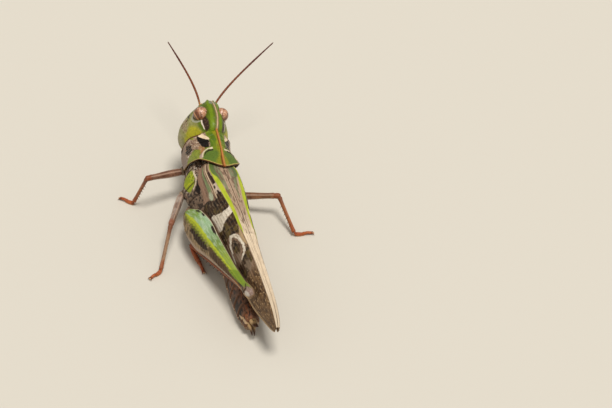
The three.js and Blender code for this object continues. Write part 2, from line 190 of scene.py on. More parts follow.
class Form:
    """Gathers grids of points in room mm, with pattern coordinates and marking fields, into one piece."""

    def __init__(self):
        self.points, self.places, self.faces, self.fields, self.count = [], [], [], [], 0

    def add(self, p, q, faces, values):
        """Points p with pattern coordinates q; the faces are turned to look outward."""
        volume = 0
        for f in faces:
            corners = p[f] - p.mean(0)
            for k in range(1, f.shape[1] - 1):
                volume += (corners[:, 0] * np.cross(corners[:, k], corners[:, k + 1])).sum()
        self.faces += [(f if volume > 0 else f[:, ::-1]) + self.count for f in faces]
        self.points.append(p)
        self.places.append(q)
        self.fields.append(values)
        self.count += len(p)

    def grid(self, points, place=None, **fields):
        """A closed surface from points (rows, columns, 3): each row is a ring, and a fan closes each end."""
        p = points.reshape(-1, 3)
        q = p if place is None else place.reshape(-1, 3)
        values = {k: np.broadcast_to(v, points.shape[:2]).reshape(-1) for k, v in fields.items()}
        index = np.arange(len(p)).reshape(points.shape[:2])
        after = np.roll(index, -1, 1)
        faces = [np.stack([index[:-1], after[:-1], after[1:], index[1:]], -1).reshape(-1, 4)]
        for ring, flip in ((index[0], -1), (index[-1], 1)):
            fan = [np.full(len(ring), len(p)), ring, np.roll(ring, -1)]
            faces.append(np.stack(fan[::flip], -1))
            p, q = np.vstack([p, p[ring].mean(0)]), np.vstack([q, q[ring].mean(0)])
            values = {k: np.append(v, v[ring].mean()) for k, v in values.items()}
        self.add(p, q, faces, values)

    def sheet(self, outer, inner, place, **fields):
        """A thin closed sheet: outer and inner grids of the same size, joined round their border."""
        far = outer.shape[0] * outer.shape[1]
        index = np.arange(far).reshape(outer.shape[:2])
        quads = np.stack([index[:-1, :-1], index[:-1, 1:], index[1:, 1:], index[1:, :-1]], -1).reshape(-1,
            4)
        border = np.concatenate([index[0, :-1], index[:-1, -1], index[-1, :0:-1], index[:0:-1, 0]])
        after = np.roll(border, -1)
        rim = np.stack([after, border, border + far, after + far], -1)
        values = {k: np.tile(np.broadcast_to(v, index.shape).reshape(-1), 2) for k, v in fields.items()}
        self.add(np.concatenate([outer, inner]).reshape(-1, 3), np.tile(place.reshape(-1, 3), (2, 1)),
            [quads, quads[:, ::-1] + far, rim], values)

    def tube(self, path, radius, sides, wide=1.0, place=None, **fields):
        """A round or oval rod along path (n, 3), its radius given at each point."""
        along = unit(np.gradient(path, axis=0))
        across = unit(np.cross(along, (0.3, 0.2, 1.0)))
        over = np.cross(across, along)
        radius, a = rings(radius, sides)
        ring = np.cos(a)[..., None] * across[:, None] * wide + np.sin(a)[..., None] * over[:, None]
        self.grid(path[:, None] + radius[..., None] * ring, place, **fields)

    def piece(self, name, material, slot, *nodes):
        mesh = bpy.data.meshes.new(name)
        points = np.vstack(self.points) * MM
        points[:, 2] = points[:, 2].clip(0)  # nothing dips under the floor
        mesh.vertices.add(len(points))
        mesh.vertices.foreach_set("co", points.astype(np.float32).ravel())
        corners = np.concatenate([f.ravel() for f in self.faces])
        sizes = np.concatenate([np.full(len(f), f.shape[1]) for f in self.faces])
        mesh.loops.add(len(corners))
        mesh.loops.foreach_set("vertex_index", corners.astype(np.int32))
        mesh.polygons.add(len(sizes))
        mesh.polygons.foreach_set("loop_start", (np.cumsum(sizes) - sizes).astype(np.int32))
        mesh.update(calc_edges=True)
        place = mesh.attributes.new("place", "FLOAT_VECTOR", "POINT")
        place.data.foreach_set("vector", np.vstack(self.places).astype(np.float32).ravel())
        for key in sorted({k for values in self.fields for k in values}):
            whole = [values.get(key, np.full(len(p), NOWHERE))
                for values, p in zip(self.fields, self.points)]
            data = mesh.attributes.new(key, "FLOAT", "POINT").data
            data.foreach_set("value", np.concatenate(whole).astype(np.float32))
        mesh.shade_smooth()
        mesh.materials.append(material)
        made = added(name, mesh)
        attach(made, "root")
        if nodes:
            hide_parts(*nodes)

    def small(self, name, paint, slot, *nodes, rough=0.42, grain=0.1, depth=0.02, cloud=0.2, shade=0.5):
        """A piece with the finish of small parts: clouded a little, with a fine grain."""
        paint.shade(paint.noise(cloud), shade)
        self.piece(name, paint.finish(rough, paint.noise(grain) * depth), slot, *nodes)


# ---- materials: colours laid over each other, each where a field is positive ----
EVEN = (1, 1, 1)


def colour(code):
    """'#rrggbb' as it should look, in the linear numbers that Blender uses."""
    c = [int(code[i:i + 2], 16) / 255 for i in (1, 3, 5)]
    return (*[x / 12.92 if x <= 0.04045 else ((x + 0.055) / 1.055) ** 2.4 for x in c], 1.0)


class Num:
    """A number in a material; sums and products of it become Math nodes."""

    def __init__(self, paint, socket):
        self.paint, self.socket = paint, socket

    def __add__(self, other):
        return self.paint.math("ADD", self, other)

    __radd__ = __add__

    def __sub__(self, other):
        return self.paint.math("SUBTRACT", self, other)

    def __rsub__(self, other):
        return self.paint.math("SUBTRACT", other, self)

    def __mul__(self, other):
        return self.paint.math("MULTIPLY", self, other)

    def size(self):
        return self.paint.math("ABSOLUTE", self)


class Paint:
    def __init__(self, name, base):
        self.material = bpy.data.materials.new(name)
        self.material.use_nodes = True
        self.tree = self.material.node_tree
        self.tree.nodes.clear()
        self.colour = colour(base)

    def node(self, kind, inputs, **settings):
        """A node, its inputs given as numbers, colours or outputs of other nodes."""
        made = self.tree.nodes.new(kind)
        for key, value in settings.items():
            setattr(made, key, value)
        for key, value in inputs.items():
            value = value.socket if isinstance(value, Num) else value
            if isinstance(value, bpy.types.NodeSocket):
                self.tree.links.new(value, made.inputs[key])
            else:
                made.inputs[key].default_value = value
        return made

    def math(self, operation, *values):
        return Num(self,
            self.node("ShaderNodeMath", dict(enumerate(values)), operation=operation).outputs[0])

    @cache
    def field(self, name):
        return Num(self, self.node("ShaderNodeAttribute", {}, attribute_name=name).outputs["Fac"])

    @cache
    def place(self, stretch=EVEN):
        """The pattern coordinates in mm, drawn out by stretch."""
        plain = self.node("ShaderNodeAttribute", {}, attribute_name="place").outputs["Vector"]
        return self.node("ShaderNodeVectorMath", {0: plain, 1: stretch}, operation="DIVIDE").outputs[0]

    def axis(self, index):
        return Num(self, self.node("ShaderNodeSeparateXYZ", {0: self.place()}).outputs[index])

    @cache
    def noise(self, size, stretch=EVEN):
        """Cloudy noise about 0, with lumps about this many mm across."""
        inputs = {"Vector": self.place(stretch), "Scale": 1 / size, "Detail": 3.0}
        return Num(self, self.node("ShaderNodeTexNoise", inputs).outputs["Fac"]) - 0.5

    def cells(self, size, stretch=EVEN, feature="F1", random=1.0):
        """Distance to the nearest cell centre or, with DISTANCE_TO_EDGE, to its border, in cell sizes."""
        inputs = {"Vector": self.place(stretch), "Scale": 1 / size, "Randomness": random}
        return Num(self, self.node("ShaderNodeTexVoronoi", inputs, feature=feature).outputs["Distance"])

    def mask(self, value, soft=0.05):
        """0 where value is negative, 1 where it is positive, and a soft edge between."""
        inputs = {"Value": value, "From Min": -soft, "From Max": soft}
        made = self.node("ShaderNodeMapRange", inputs, interpolation_type="SMOOTHSTEP")
        return Num(self, made.outputs["Result"])

    def within(self, name, soft=0.1):
        return self.mask(self.field(name), soft)

    def lay(self, amount, code, strength=1.0):
        """Lays a colour over what is there, as much as amount (0 to 1) says."""
        inputs = {0: amount * strength, 6: self.colour, 7: colour(code)}
        self.colour = self.node("ShaderNodeMix", inputs, data_type="RGBA").outputs[2]

    def mark(self, name, code, soft=0.06, ragged=0.0, size=0.5, strength=1.0, stretch=EVEN):
        """Lays a colour where the field called name is positive, with a ragged edge."""
        value = self.field(name)
        if ragged:
            value = value + self.noise(size, stretch) * (2 * ragged)
        self.lay(self.mask(value, soft), code, strength)

    def cloud(self, code, size, level, soft, strength, stretch=EVEN, over=None):
        """Lays a colour in clouds, where noise is above level or, for a level under 0, below it."""
        noise = self.noise(size, stretch)
        amount = self.mask(noise - level if level >= 0 else level - noise, soft)
        self.lay(amount if over is None else over * amount, code, strength)

    def shade(self, value, amount):
        """Lightens and darkens the colour by a number about 0."""
        inputs = {"Value": value * amount + 1.0, "Color": self.colour}
        self.colour = self.node("ShaderNodeHueSaturation", inputs).outputs[0]

    def finish(self, rough, bump=None, specular=0.22, coat=0.0):
        """The material, with bump a height in mm."""
        inputs = {"Base Color": self.colour, "Roughness": rough, "Specular IOR Level": specular,
            "Coat Weight": coat, "Coat Roughness": 0.15}
        if bump is not None:
            inputs["Normal"] = self.node("ShaderNodeBump", {"Distance": MM, "Height": bump}).outputs[0]
        shader = self.node("ShaderNodeBsdfPrincipled", inputs)
        self.node("ShaderNodeOutputMaterial", {0: shader.outputs[0]})
        return self.material


# ---- pronotum: a waisted saddle with a ridge along the back and hanging side lobes ----
rear_section = through([[0, 0, 0], [0.40, 2.8, -1.0], [0.55, 3.15, -1.95], [0.68, 3.3, -3.0],
    [1, 3.35, -LOBE_DEPTH + 0.5]])
waist_section = through([[0, 0, 0.2], [0.30, 1.15, -0.5], [0.66, 2.95, -3.0], [1, 3.3, -LOBE_DEPTH + 0.3]])
front_section = through([[0, 0, 0.12], [0.32, 1.5, -0.85], [0.66, 3.1, -2.9], [1, 3.3, -LOBE_DEPTH + 0.9]])
rear_edge = through([[0, 0], [0.1, 0.38], [0.2, 0.95], [0.40, 1.9], [0.6, 2.85], [0.8, 3.8], [1, 4.3]])
front_edge = through([[0, PRONOTUM_LENGTH], [0.2, PRONOTUM_LENGTH - 0.25], [0.34, PRONOTUM_LENGTH - 0.35],
    [0.66, PRONOTUM_LENGTH + 0.15], [0.85, PRONOTUM_LENGTH + 0.3], [1, PRONOTUM_LENGTH + 0.2]])
WAIST_AT = 0.6
ALONG, AROUND = 7.0, 8.0  # mm of surface along the pronotum and from its ridge to its lower edge


def pronotum_point(t, s):
    a = np.abs(s)
    behind = t < WAIST_AT
    k = step(np.where(behind, t / WAIST_AT, (t - WAIST_AT) / (1 - WAIST_AT)))
    l, z = (np.where(behind, rear + (waist - rear) * k, waist + (front - waist) * k)
        for rear, waist, front in zip(rear_section(a), waist_section(a), front_section(a)))
    return stack(rear_edge(a)[0] * (1 - t) + front_edge(a)[0] * t, np.sign(s) * l, z)


def make_pronotum():
    t, s = np.meshgrid(np.linspace(0, 1, 190), np.linspace(-1, 1, 225), indexing="ij")
    x, y, a = t * ALONG, s * AROUND, np.abs(s) * AROUND
    sulci = sum(hump(x - at - 0.06 * np.abs(a - 3), 0.1) * step(a, low, low + 0.5) * step(a, 6.9, 6.3)
        for at, low in ((3.6, 0.05), (4.75, 0.5), (5.75, 0.5)))
    ridge = hump(y, 0.15) * (0.19 - 0.08 * hump(x - 3.6, 0.1))
    shoulder = widest(stroke(x, a, [(7.0, 2.9), (5.0, 2.1), (4.2, 1.9)]),
        stroke(x, a, [(3.2, 1.9), (2.2, 2.7), (0.9, 3.0)]))
    edge = np.minimum(np.minimum(x, ALONG - x), AROUND - a)
    height = ridge - 0.09 * sulci + 0.07 * hump(shoulder, 0.16) + 0.05 * hump(edge - 0.12, 0.1)
    p = pronotum_point(t, s)
    form = Form()
    form.sheet(
        room(raised(p, height, wrap=False), FRONT),
        room(raised(p, -PRONOTUM_SHEET + 0 * t, wrap=False), FRONT), stack(x, y, 0),
        keel=0.15 - np.abs(y + 0.03),
        rust=between(y, 0.08, 0.3) + 0.05 * np.sin(x * 1.7),
        halo=between(a, -1, 0.8) + 0.2 * np.sin(x * 2.2),
        disc=np.minimum(2.9 - a, 2.7 - x),
        leaf=widest(oval(x, a, (5.4, 1.3), (1.3, 0.55)), oval(x, a, (4.1, 2.1), (0.9, 0.35))),
        margin=0.26 - x,
        # a dark band along the front and rear edges: painted shade where the shield overhangs the head and
        # the wings
        brim=np.maximum(0.09 - x, 0.12 + 0.2 * step(a, 2.5, 4) - (ALONG - x)),
        lobe=np.where(x < 3.3, a - 2.95 - 0.1 * (x - 1.6) ** 2, a - 2.35),
        wedge=patch(x, a, [(7.2, 3.6), (7.2, 3.05), (6.2, 2.6), (5.4, 2.15), (4.95, 2.15), (5.3, 2.8),
            (6.3, 3.45), (7.2, 3.8)]),
        arc=np.where(y > 0,
            stroke(x, a, [(2.95, 1.95), (2.85, 2.6), (2.2, 3.0), (1.3, 3.0), (0.7, 2.95)], 0.4, 0.2),
            stroke(x, a, [(3.0, 1.2), (2.75, 2.0), (2.2, 2.5), (1.5, 2.75), (0.9, 2.9)], 0.36, 0.24)),
        shoulder=widest(oval(x, a, (0.8, 3.15), (0.75, 0.36)),
            stroke(x, a, [(6.35, 5.0), (6.2, 5.9)], 0.5, 0.3)),
        black=widest(
            patch(x, a, [(6.8, 3.75), (6.2, 3.1), (5.4, 2.75), (4.7, 2.3), (4.4, 2.55), (3.9, 2.6),
            (3.25, 2.6), (3.15, 3.1), (3.7, 3.6), (4.6, 3.8), (5.6, 3.95)]),
            np.where(y > 0, NOWHERE,
            stroke(x, a, [(3.3, 1.7), (3.0, 2.4), (2.5, 3.0), (1.9, 3.4)], 0.3, 0.2))),
        line=stroke(x, a, [(2.62, 1.75), (2.4, 2.3), (1.9, 2.65), (1.1, 2.65)], 0.34, 0.1),
        lime=widest(patch(x, a, [(6.95, 4.2), (6.95, 5.3), (6.3, 5.0), (6.3, 4.3)]),
            patch(x, a,
            [(0.2, 3.5), (1.6, 3.35), (2.9, 3.85), (3.5, 4.7), (2.5, 5.4), (1.7, 6.2), (0.2, 6.8)])),
        orange=widest(oval(x, a, (2.6, 3.4), (0.9, 0.3)), oval(x, a, (3.4, 3.75), (0.5, 0.25))),
        soot=patch(x, a, [(5.5, 5.2), (5.9, 6.2), (4.6, 6.6), (3.2, 6.4), (2.9, 5.7), (4.2, 5.0)]),
        white=oval(x, a, (2.5, 6.15), (0.24, 0.18)),
        corner=oval(x, a, (6.9, 7.9), (0.9, 0.7)),
        pale=a - 6.7)
    paint = Paint("pronotum", "#6b7d17")
    mark, cloud = paint.mark, paint.cloud
    big, fine = paint.noise(1.3), paint.noise(0.22)
    cloud("#8b9622", 0.8, 0.06, 0.15, 0.5)
    mark("leaf", "#4a6a12", 0.3, 0.3, 0.6, 0.8)
    mark("disc", "#566f28", 0.35, 0.35, 0.8, 0.85)
    mark("halo", "#97911a", 0.25, 0.25, 0.6, 0.65, (2, 1, 1))
    cloud("#6b5a16", 0.4, 0.08, 0.06, 0.7, (4, 1, 1), over=paint.within("halo", 0.2))
    mark("lobe", "#a58a72", 0.1, 0.2, 0.5)
    lobe = paint.within("lobe")
    cloud("#6b4d3c", 0.45, 0.03, 0.08, 0.85, over=lobe)
    cloud("#cdb8a4", 0.3, 0.1, 0.06, 0.85, (1.5, 1, 1), over=lobe)
    mark("pale", "#8b786a", 0.3, 0.3, 0.5)
    mark("lime", "#8a9420", 0.12, 0.25, 0.4)
    cloud("#5c7020", 0.5, 0.06, 0.08, 0.8, over=paint.within("lime", 0.12))
    mark("orange", "#b0762e", 0.25, 0.45, 0.35, 0.75)
    mark("black", "#130b06", 0.07, 0.22, 0.35)
    cloud("#4a3224", 0.4, 0.13, 0.05, 0.6, over=paint.within("black"))
    mark("shoulder", "#b59a8c", 0.12, 0.2, 0.3, 0.9)
    mark("soot", "#160d07", 0.12, 0.6, 0.4)
    cloud("#7a6250", 0.35, 0.07, 0.05, 0.8, over=paint.within("soot"))
    mark("wedge", "#efd6b2", 0.06, 0.08, 0.35)
    mark("arc", "#e0ccb0", 0.05, 0.07, 0.3)
    mark("line", "#26190f", 0.05, 0.07, 0.3)
    mark("white", "#efe8da", 0.05)
    mark("corner", "#24160f", 0.15, 0.2, 0.4)
    mark("margin", "#c0b05a", 0.06, 0.05, 0.4)
    # painted shade along the front and rear edges
    mark("brim", "#5f3b20", 0.04, 0.04, 0.3)
    mark("rust", "#7a3410", 0.06, 0.08, 0.5, 0.85, (3, 1, 1))
    mark("keel", "#bd7a3e", 0.05, 0.04, 0.4)
    paint.shade(big + fine * 1.4, 0.55)
    pits = paint.mask(0.3 - paint.cells(0.26), 0.12) * paint.mask(3.6 - paint.axis(0), 0.3)
    paint.shade(pits * -1.0, 0.22)
    bump = fine * 0.03 + pits * -0.02 + paint.noise(0.07) * 0.012
    form.piece("pronotum_shell", paint.finish(0.42 + fine * 0.3, bump), "green_shield", "pronotum")


# ---- head ----
head_rows = through([[-7.3, 9.4, 12.0, 1.7], [-6.7, 8.7, 12.5, 2.5], [-5.7, 7.9, 12.85, 3.2],
    [-4.2, 7.2, 13.1, 3.4], [-2.6, 6.9, 13.2, 3.05], [-1.2, 6.9, 13.15, 2.35], [-0.1, 7.0, 12.9, 1.6],
    [0.6, 7.6, 12.4, 1.1], [0.95, 8.6, 11.8, 0.65]])
EYE_SIZE = np.array([1.0, 1.06, 1.14])


def eye_centre(side):
    """The head is turned a little on the pronotum, so one eye lies lower."""
    return np.array([10.48 - side * 0.05, side * 1.47 + 0.12, -0.24 - side * 0.09])


def head_point(z, a, scale=1.0):
    back, front, half = head_rows(z)
    return stack((back + front) / 2 + scale * (front - back) / 2 * power(np.cos(a), 0.8),
        scale * half * power(np.sin(a), 0.8), z)


def make_head():
    cap = np.radians(np.linspace(6, 84, 9))
    z = np.concatenate([0.95 + 0.09 * np.cos(cap), np.linspace(0.95, -7.3, 170), -7.3 - 0.2 * np.sin(cap)])
    scale = np.concatenate([np.sin(cap), np.ones(170), np.cos(cap)])
    z, a = rings(z, 288)
    p = head_point(z, a, scale[:, None])
    eye = np.minimum(*(np.linalg.norm((p - eye_centre(k)) / EYE_SIZE, axis=-1) for k in (1, -1)))
    # each eye sits in a hollow of the crown
    p[..., 2] -= (0.3 + 0.12 * np.sign(p[..., 1])) * step(eye, 1.42, 1.0) * step(z, -0.7, 0.1)
    u, l = p[..., 0], p[..., 1]
    side = np.abs(l)
    degrees = np.abs((np.degrees(a) + 180) % 360 - 180)
    facing = step(np.cos(a), 0.1, 0.4)
    ridge = facing * step(z, -5.3, -4.7) * step(z, 0.7, 0.2)
    spread = 0.4 + 0.06 * hump(z + 2.25, 0.5) + 0.16 * step(z, -2.6, -5.0)
    height = ridge * (0.17 * hump(side - spread, 0.1) + 0.1 * step(side, spread + 0.12, spread - 0.08))
    cheek_keel = stroke(side, z, [(1.15, -2.0), (1.75, -3.6), (1.9, -4.6), (1.7, -5.3)])
    height += facing * 0.15 * hump(cheek_keel, 0.09)
    tip_keel = stroke(u, side, [(9.8, 1.02), (11.2, 0.95), (12.6, 0.52)])
    dip = oval(u, side, (11.5, 0), (1.4, 0.8)).clip(0)
    height += step(z, -0.2, 0.2) * (0.07 * hump(tip_keel, 0.1) - 0.06 * dip)
    furrow = stroke(u, z, [(10.9, -2.2), (11.3, -4.2), (11.2, -5.9)])
    height -= step(side, 1.5, 1.9) * 0.13 * hump(furrow, 0.09)
    socket = np.linalg.norm(p - stack(12.95, np.sign(l) * 0.85, -1.5), axis=-1)
    height += 0.08 * hump(socket - 0.42, 0.1) - 0.12 * hump(socket, 0.28)
    seam = facing * hump(z + 5.35, 0.07) * step(side, 1.75, 1.55)
    flare = (z + 5.4) * 0.4
    shield = facing * step(z, -5.35, -5.45) * step(z, -6.3, -6.2) * step(side, 1.75 + flare, 1.55 + flare)
    jaw = stroke(u, z, [(12.5, -5.5), (11.9, -5.75), (11.0, -5.85), (9.7, -5.9)])
    height += 0.14 * shield - 0.12 * seam - 0.14 * hump(jaw, 0.08) * step(side, 1.3, 1.6)
    split = stroke(u, z, [(11.2, -6.0), (11.0, -7.3)])
    height -= 0.1 * hump(split, 0.08) * step(side, 0.9, 1.2) + 0.1 * step(z, -6.2, -7.0) * (1 - shield)
    height += 0.05 * hump(eye - 1.12, 0.06)
    x = degrees * HEAD_DEGREE
    drift = -0.2 * hump(u - 9.6, 2.2)  # the stripe runs a little to the right of the middle
    jowl = np.minimum(stack(-5.9 - z, 1.7 - np.abs(u - 10.9), side - 1.35).min(-1), 0.3)
    form = Form()
    form.grid(
        room(raised(p, height), FRONT), stack(u, l, z),
        top=np.minimum(z + 0.9, 12.6 - u),
        mid=np.minimum(0.1 - np.abs(l - drift), z + 0.6),
        flank=np.minimum(0.05 - np.abs(np.abs(l - drift) - 0.22), z + 0.6),
        lime=np.minimum(0.24 - np.abs(side - 0.6), z + 0.5),
        slate=np.minimum(oval(u, side, (11.75, 0.3), (0.35, 0.22)), z),
        band=patch(x, z, [(4.5, 0.2), (5.2, 0.5), (6.4, 0.42), (7.4, 0.05), (7.4, -0.6), (6.4, -0.42),
            (5.2, -0.3), (4.6, -0.2)]),
        cream=stroke(x, z, [(4.95, -0.25), (5.5, -0.38), (6.1, -0.4), (6.8, -0.55)], 0.22, 0.1),
        crescent=np.minimum(between(eye, 1.0, 1.42), -0.5 - z),
        spot=oval(x, z, (3.45, -2.0), (0.42, 0.26)),
        blush=patch(x, z, [(3.0, -2.5), (4.2, -2.3), (4.9, -2.7), (4.6, -3.3), (3.6, -3.6), (2.9, -3.2)]),
        moss=patch(x, z, [(0.9, -0.1), (2.4, -0.6), (3.2, -1.1), (3.4, -1.7), (2.6, -2.0), (1.7, -1.5)]),
        olive=patch(x, z,
            [(4.9, -1.7), (5.6, -1.2), (6.8, -0.8), (7.7, -1.9), (7.3, -4.1), (6.0, -4.0), (5.0, -2.9)]),
        keel=facing * step(z, -5.3, -4.8) * step(z, 0.5, 0.1) * np.maximum(hump(side - spread, 0.1),
            hump(cheek_keel, 0.1) * step(z, -1.6, -2.2)) - 0.45,
        seams=np.maximum(hump(jaw, 0.09) * step(side, 1.3, 1.6),
            np.maximum(seam, hump(furrow, 0.09) * step(side, 1.5, 1.9))) - 0.5,
        shield=shield - 0.5,
        jowl=jowl,
        rim=1.16 - eye,
        socket=0.5 - socket,
        low=-5.4 - z,
        face=np.minimum(60 - degrees, -1.6 - z) * 0.05)
    paint = Paint("head_cuticle", "#8e8c4c")
    mark, cloud, lay = paint.mark, paint.cloud, paint.lay
    big, fine = paint.noise(0.9), paint.noise(0.2)
    lay(paint.mask(big - paint.axis(2) - 4.3, 1.0), "#a0966e", 0.8)
    cloud("#a9a37a", 0.5, 0.05, 0.1, 0.6)
    cloud("#75743a", 0.28, -0.08, 0.05, 0.6)
    mark("olive", "#ada626", 0.3, 0.35, 0.6)
    cloud("#7c7e1c", 0.4, 0.08, 0.08, 0.55, over=paint.within("olive", 0.3))
    mark("blush", "#ad9a7c", 0.3, 0.7, 0.5, 0.8)
    cloud("#74543c", 0.3, 0.05, 0.05, 0.85, over=paint.mask(paint.field("blush") + 0.2, 0.3))
    lay(paint.mask(paint.field("face") * 0.3 + big * 0.3, 0.15), "#7f8830", 0.6)
    mark("top", "#62730f", 0.25, 0.15, 0.5)
    mark("moss", "#55660f", 0.3, 0.6, 0.45, 0.75)
    cloud("#4c600c", 0.6, 0, 0.2, 0.8, (2, 1, 1), over=paint.within("top", 0.3))
    mark("crescent", "#a3a28e", 0.08, 0.12, 0.3, 0.9)
    mark("lime", "#70890f", 0.1, 0.14, 0.5, 0.9, (2, 1, 1))
    mark("flank", "#776648", 0.04, 0.05, 0.3)
    mark("mid", "#c6a284", 0.05, 0.05, 0.3)
    mark("slate", "#858678", 0.1, 0.15, 0.3, 0.8)
    mark("band", "#36241a", 0.1, 0.2, 0.35)
    cloud("#5e4634", 0.35, 0.08, 0.05, 0.7, over=paint.within("band"))
    mark("cream", "#e8d8c4", 0.05, 0.04, 0.3)
    mark("spot", "#2a1a0c", 0.12, 0.4, 0.3, 0.95)
    cloud("#5f6c1c", 0.45, 0.1, 0.08, 0.6, over=paint.within("face", 0.2))
    mark("keel", "#a6a456", 0.3, 0.2, 0.4, 0.45)
    mark("low", "#978f5c", 0.3, 0.3, 0.5, 0.7)
    mark("shield", "#a39b66", 0.2, 0.2, 0.3, 0.85)
    mark("jowl", "#86764a", 0.12, 0.15, 0.3, 0.8)
    cloud("#5a4a26", 0.3, 0.1, 0.05, 0.7, over=paint.mask(paint.field("jowl") + 0.15, 0.3))
    mark("seams", "#4f4b22", 0.3, 0.1, 0.3, 0.45)
    mark("socket", "#5a4a20", 0.12, 0.05, 0.3, 0.7)
    mark("rim", "#5c5a2a", 0.05, 0.03, 0.3, 0.8)
    lay(paint.mask(0.16 - paint.cells(0.5), 0.05), "#6f6a38", 0.35)
    paint.shade(big + fine * 1.3, 0.45)
    bump = fine * 0.02 + paint.mask(0.25 - paint.cells(0.24), 0.15) * -0.014 + paint.noise(0.08) * 0.01
    form.piece("head_skin", paint.finish(0.4 + fine * 0.3, bump), "head_cuticle", "head")


def make_eye(side):
    p, a = rings(np.radians(np.linspace(3, 177, 60)), 90)
    n = stack(np.sin(p) * np.sin(a), np.sin(p) * np.cos(a), np.cos(p))  # on a unit ball
    turned = n * EYE_SIZE @ (turn("x", -side * EYE_TILT) @ turn("y", -EYE_TILT)).T + eye_centre(side)
    apart = side * n[..., 1]
    form = Form()
    form.grid(
        room(turned, FRONT), n,
        streak=0.65 * n[..., 2] - 0.63 * apart + 0.12 * n[..., 0],
        # crown: the pale upper inner part, partly the eye's own colour and partly painted light from above;
        # low: the dark lower part, partly its own colour and partly painted shade
        crown=n[..., 2] * 0.65 + n[..., 0] * 0.15 - 0.18 - 0.5 * apart,
        low=-0.25 - n[..., 2] + 0.2 * n[..., 0],
        rim=-0.62 - apart)
    paint = Paint("eye_" + WORDS[side], "#6e3a1e")
    paint.cloud("#96592f", 0.35, 0.04, 0.1, 0.7)
    # pale upper part with near-white flecks: partly painted light from above
    paint.mark("crown", "#c88e6a", 0.25, 0.4, 0.4, 0.9)
    paint.cloud("#f0cdb0", 0.22, 0.07, 0.05, 0.75, over=paint.within("crown", 0.2))
    paint.cloud("#5a2c14", 0.36, -0.05, 0.06, 0.8, (1, 1, 0.6))
    # dark lower part: partly painted shade below
    paint.mark("low", "#4b2c18", 0.25, 0.2, 0.4, 0.85)
    streak = paint.field("streak") + paint.noise(0.6) * 0.1
    paint.lay(paint.mask(0.07 - (streak + 0.42).size(), 0.04), "#d59a64", 0.85)
    paint.lay(paint.mask(0.06 - (streak + 0.2).size()), "#5a3018", 0.5)
    paint.mark("rim", "#40261a", 0.08, 0.0, 0.3, 0.6)
    skin = paint.finish(0.28, paint.cells(0.045, random=0.15) * -0.012, specular=0.6, coat=0.25)
    form.piece("compound_" + WORDS[side], skin, "compound_eye", "eye_" + WORDS[side])


# ---- trunk: thorax and abdomen under one skin ----
trunk_rows = through([[-6.4, 1.9, -1.9, -7.2, -0.2], [-4, 2.95, -1.9, -7.8, 0.1],
    [-1.5, 3.45, -2.0, -8.1, 0.25], [2, 3.3, -2.0, -8.2, 0.2], [5, 2.5, -2.1, -8.1, 0.1],
    [6.9, 1.9, -2.2, -8.1, 0.1], [12, 1.75, -2.6, -8.6, 0.2], [17, 1.55, -3.6, -8.9, 0.35],
    [21, 1.25, -4.9, -8.75, 0.5], [23.2, 0.9, -5.9, -8.2, 0.5]])
SEGMENTS = [6.9, 9.1, 11.3, 13.5, 15.6, 17.6, 19.5, 21.1, 22.3, 23.3]


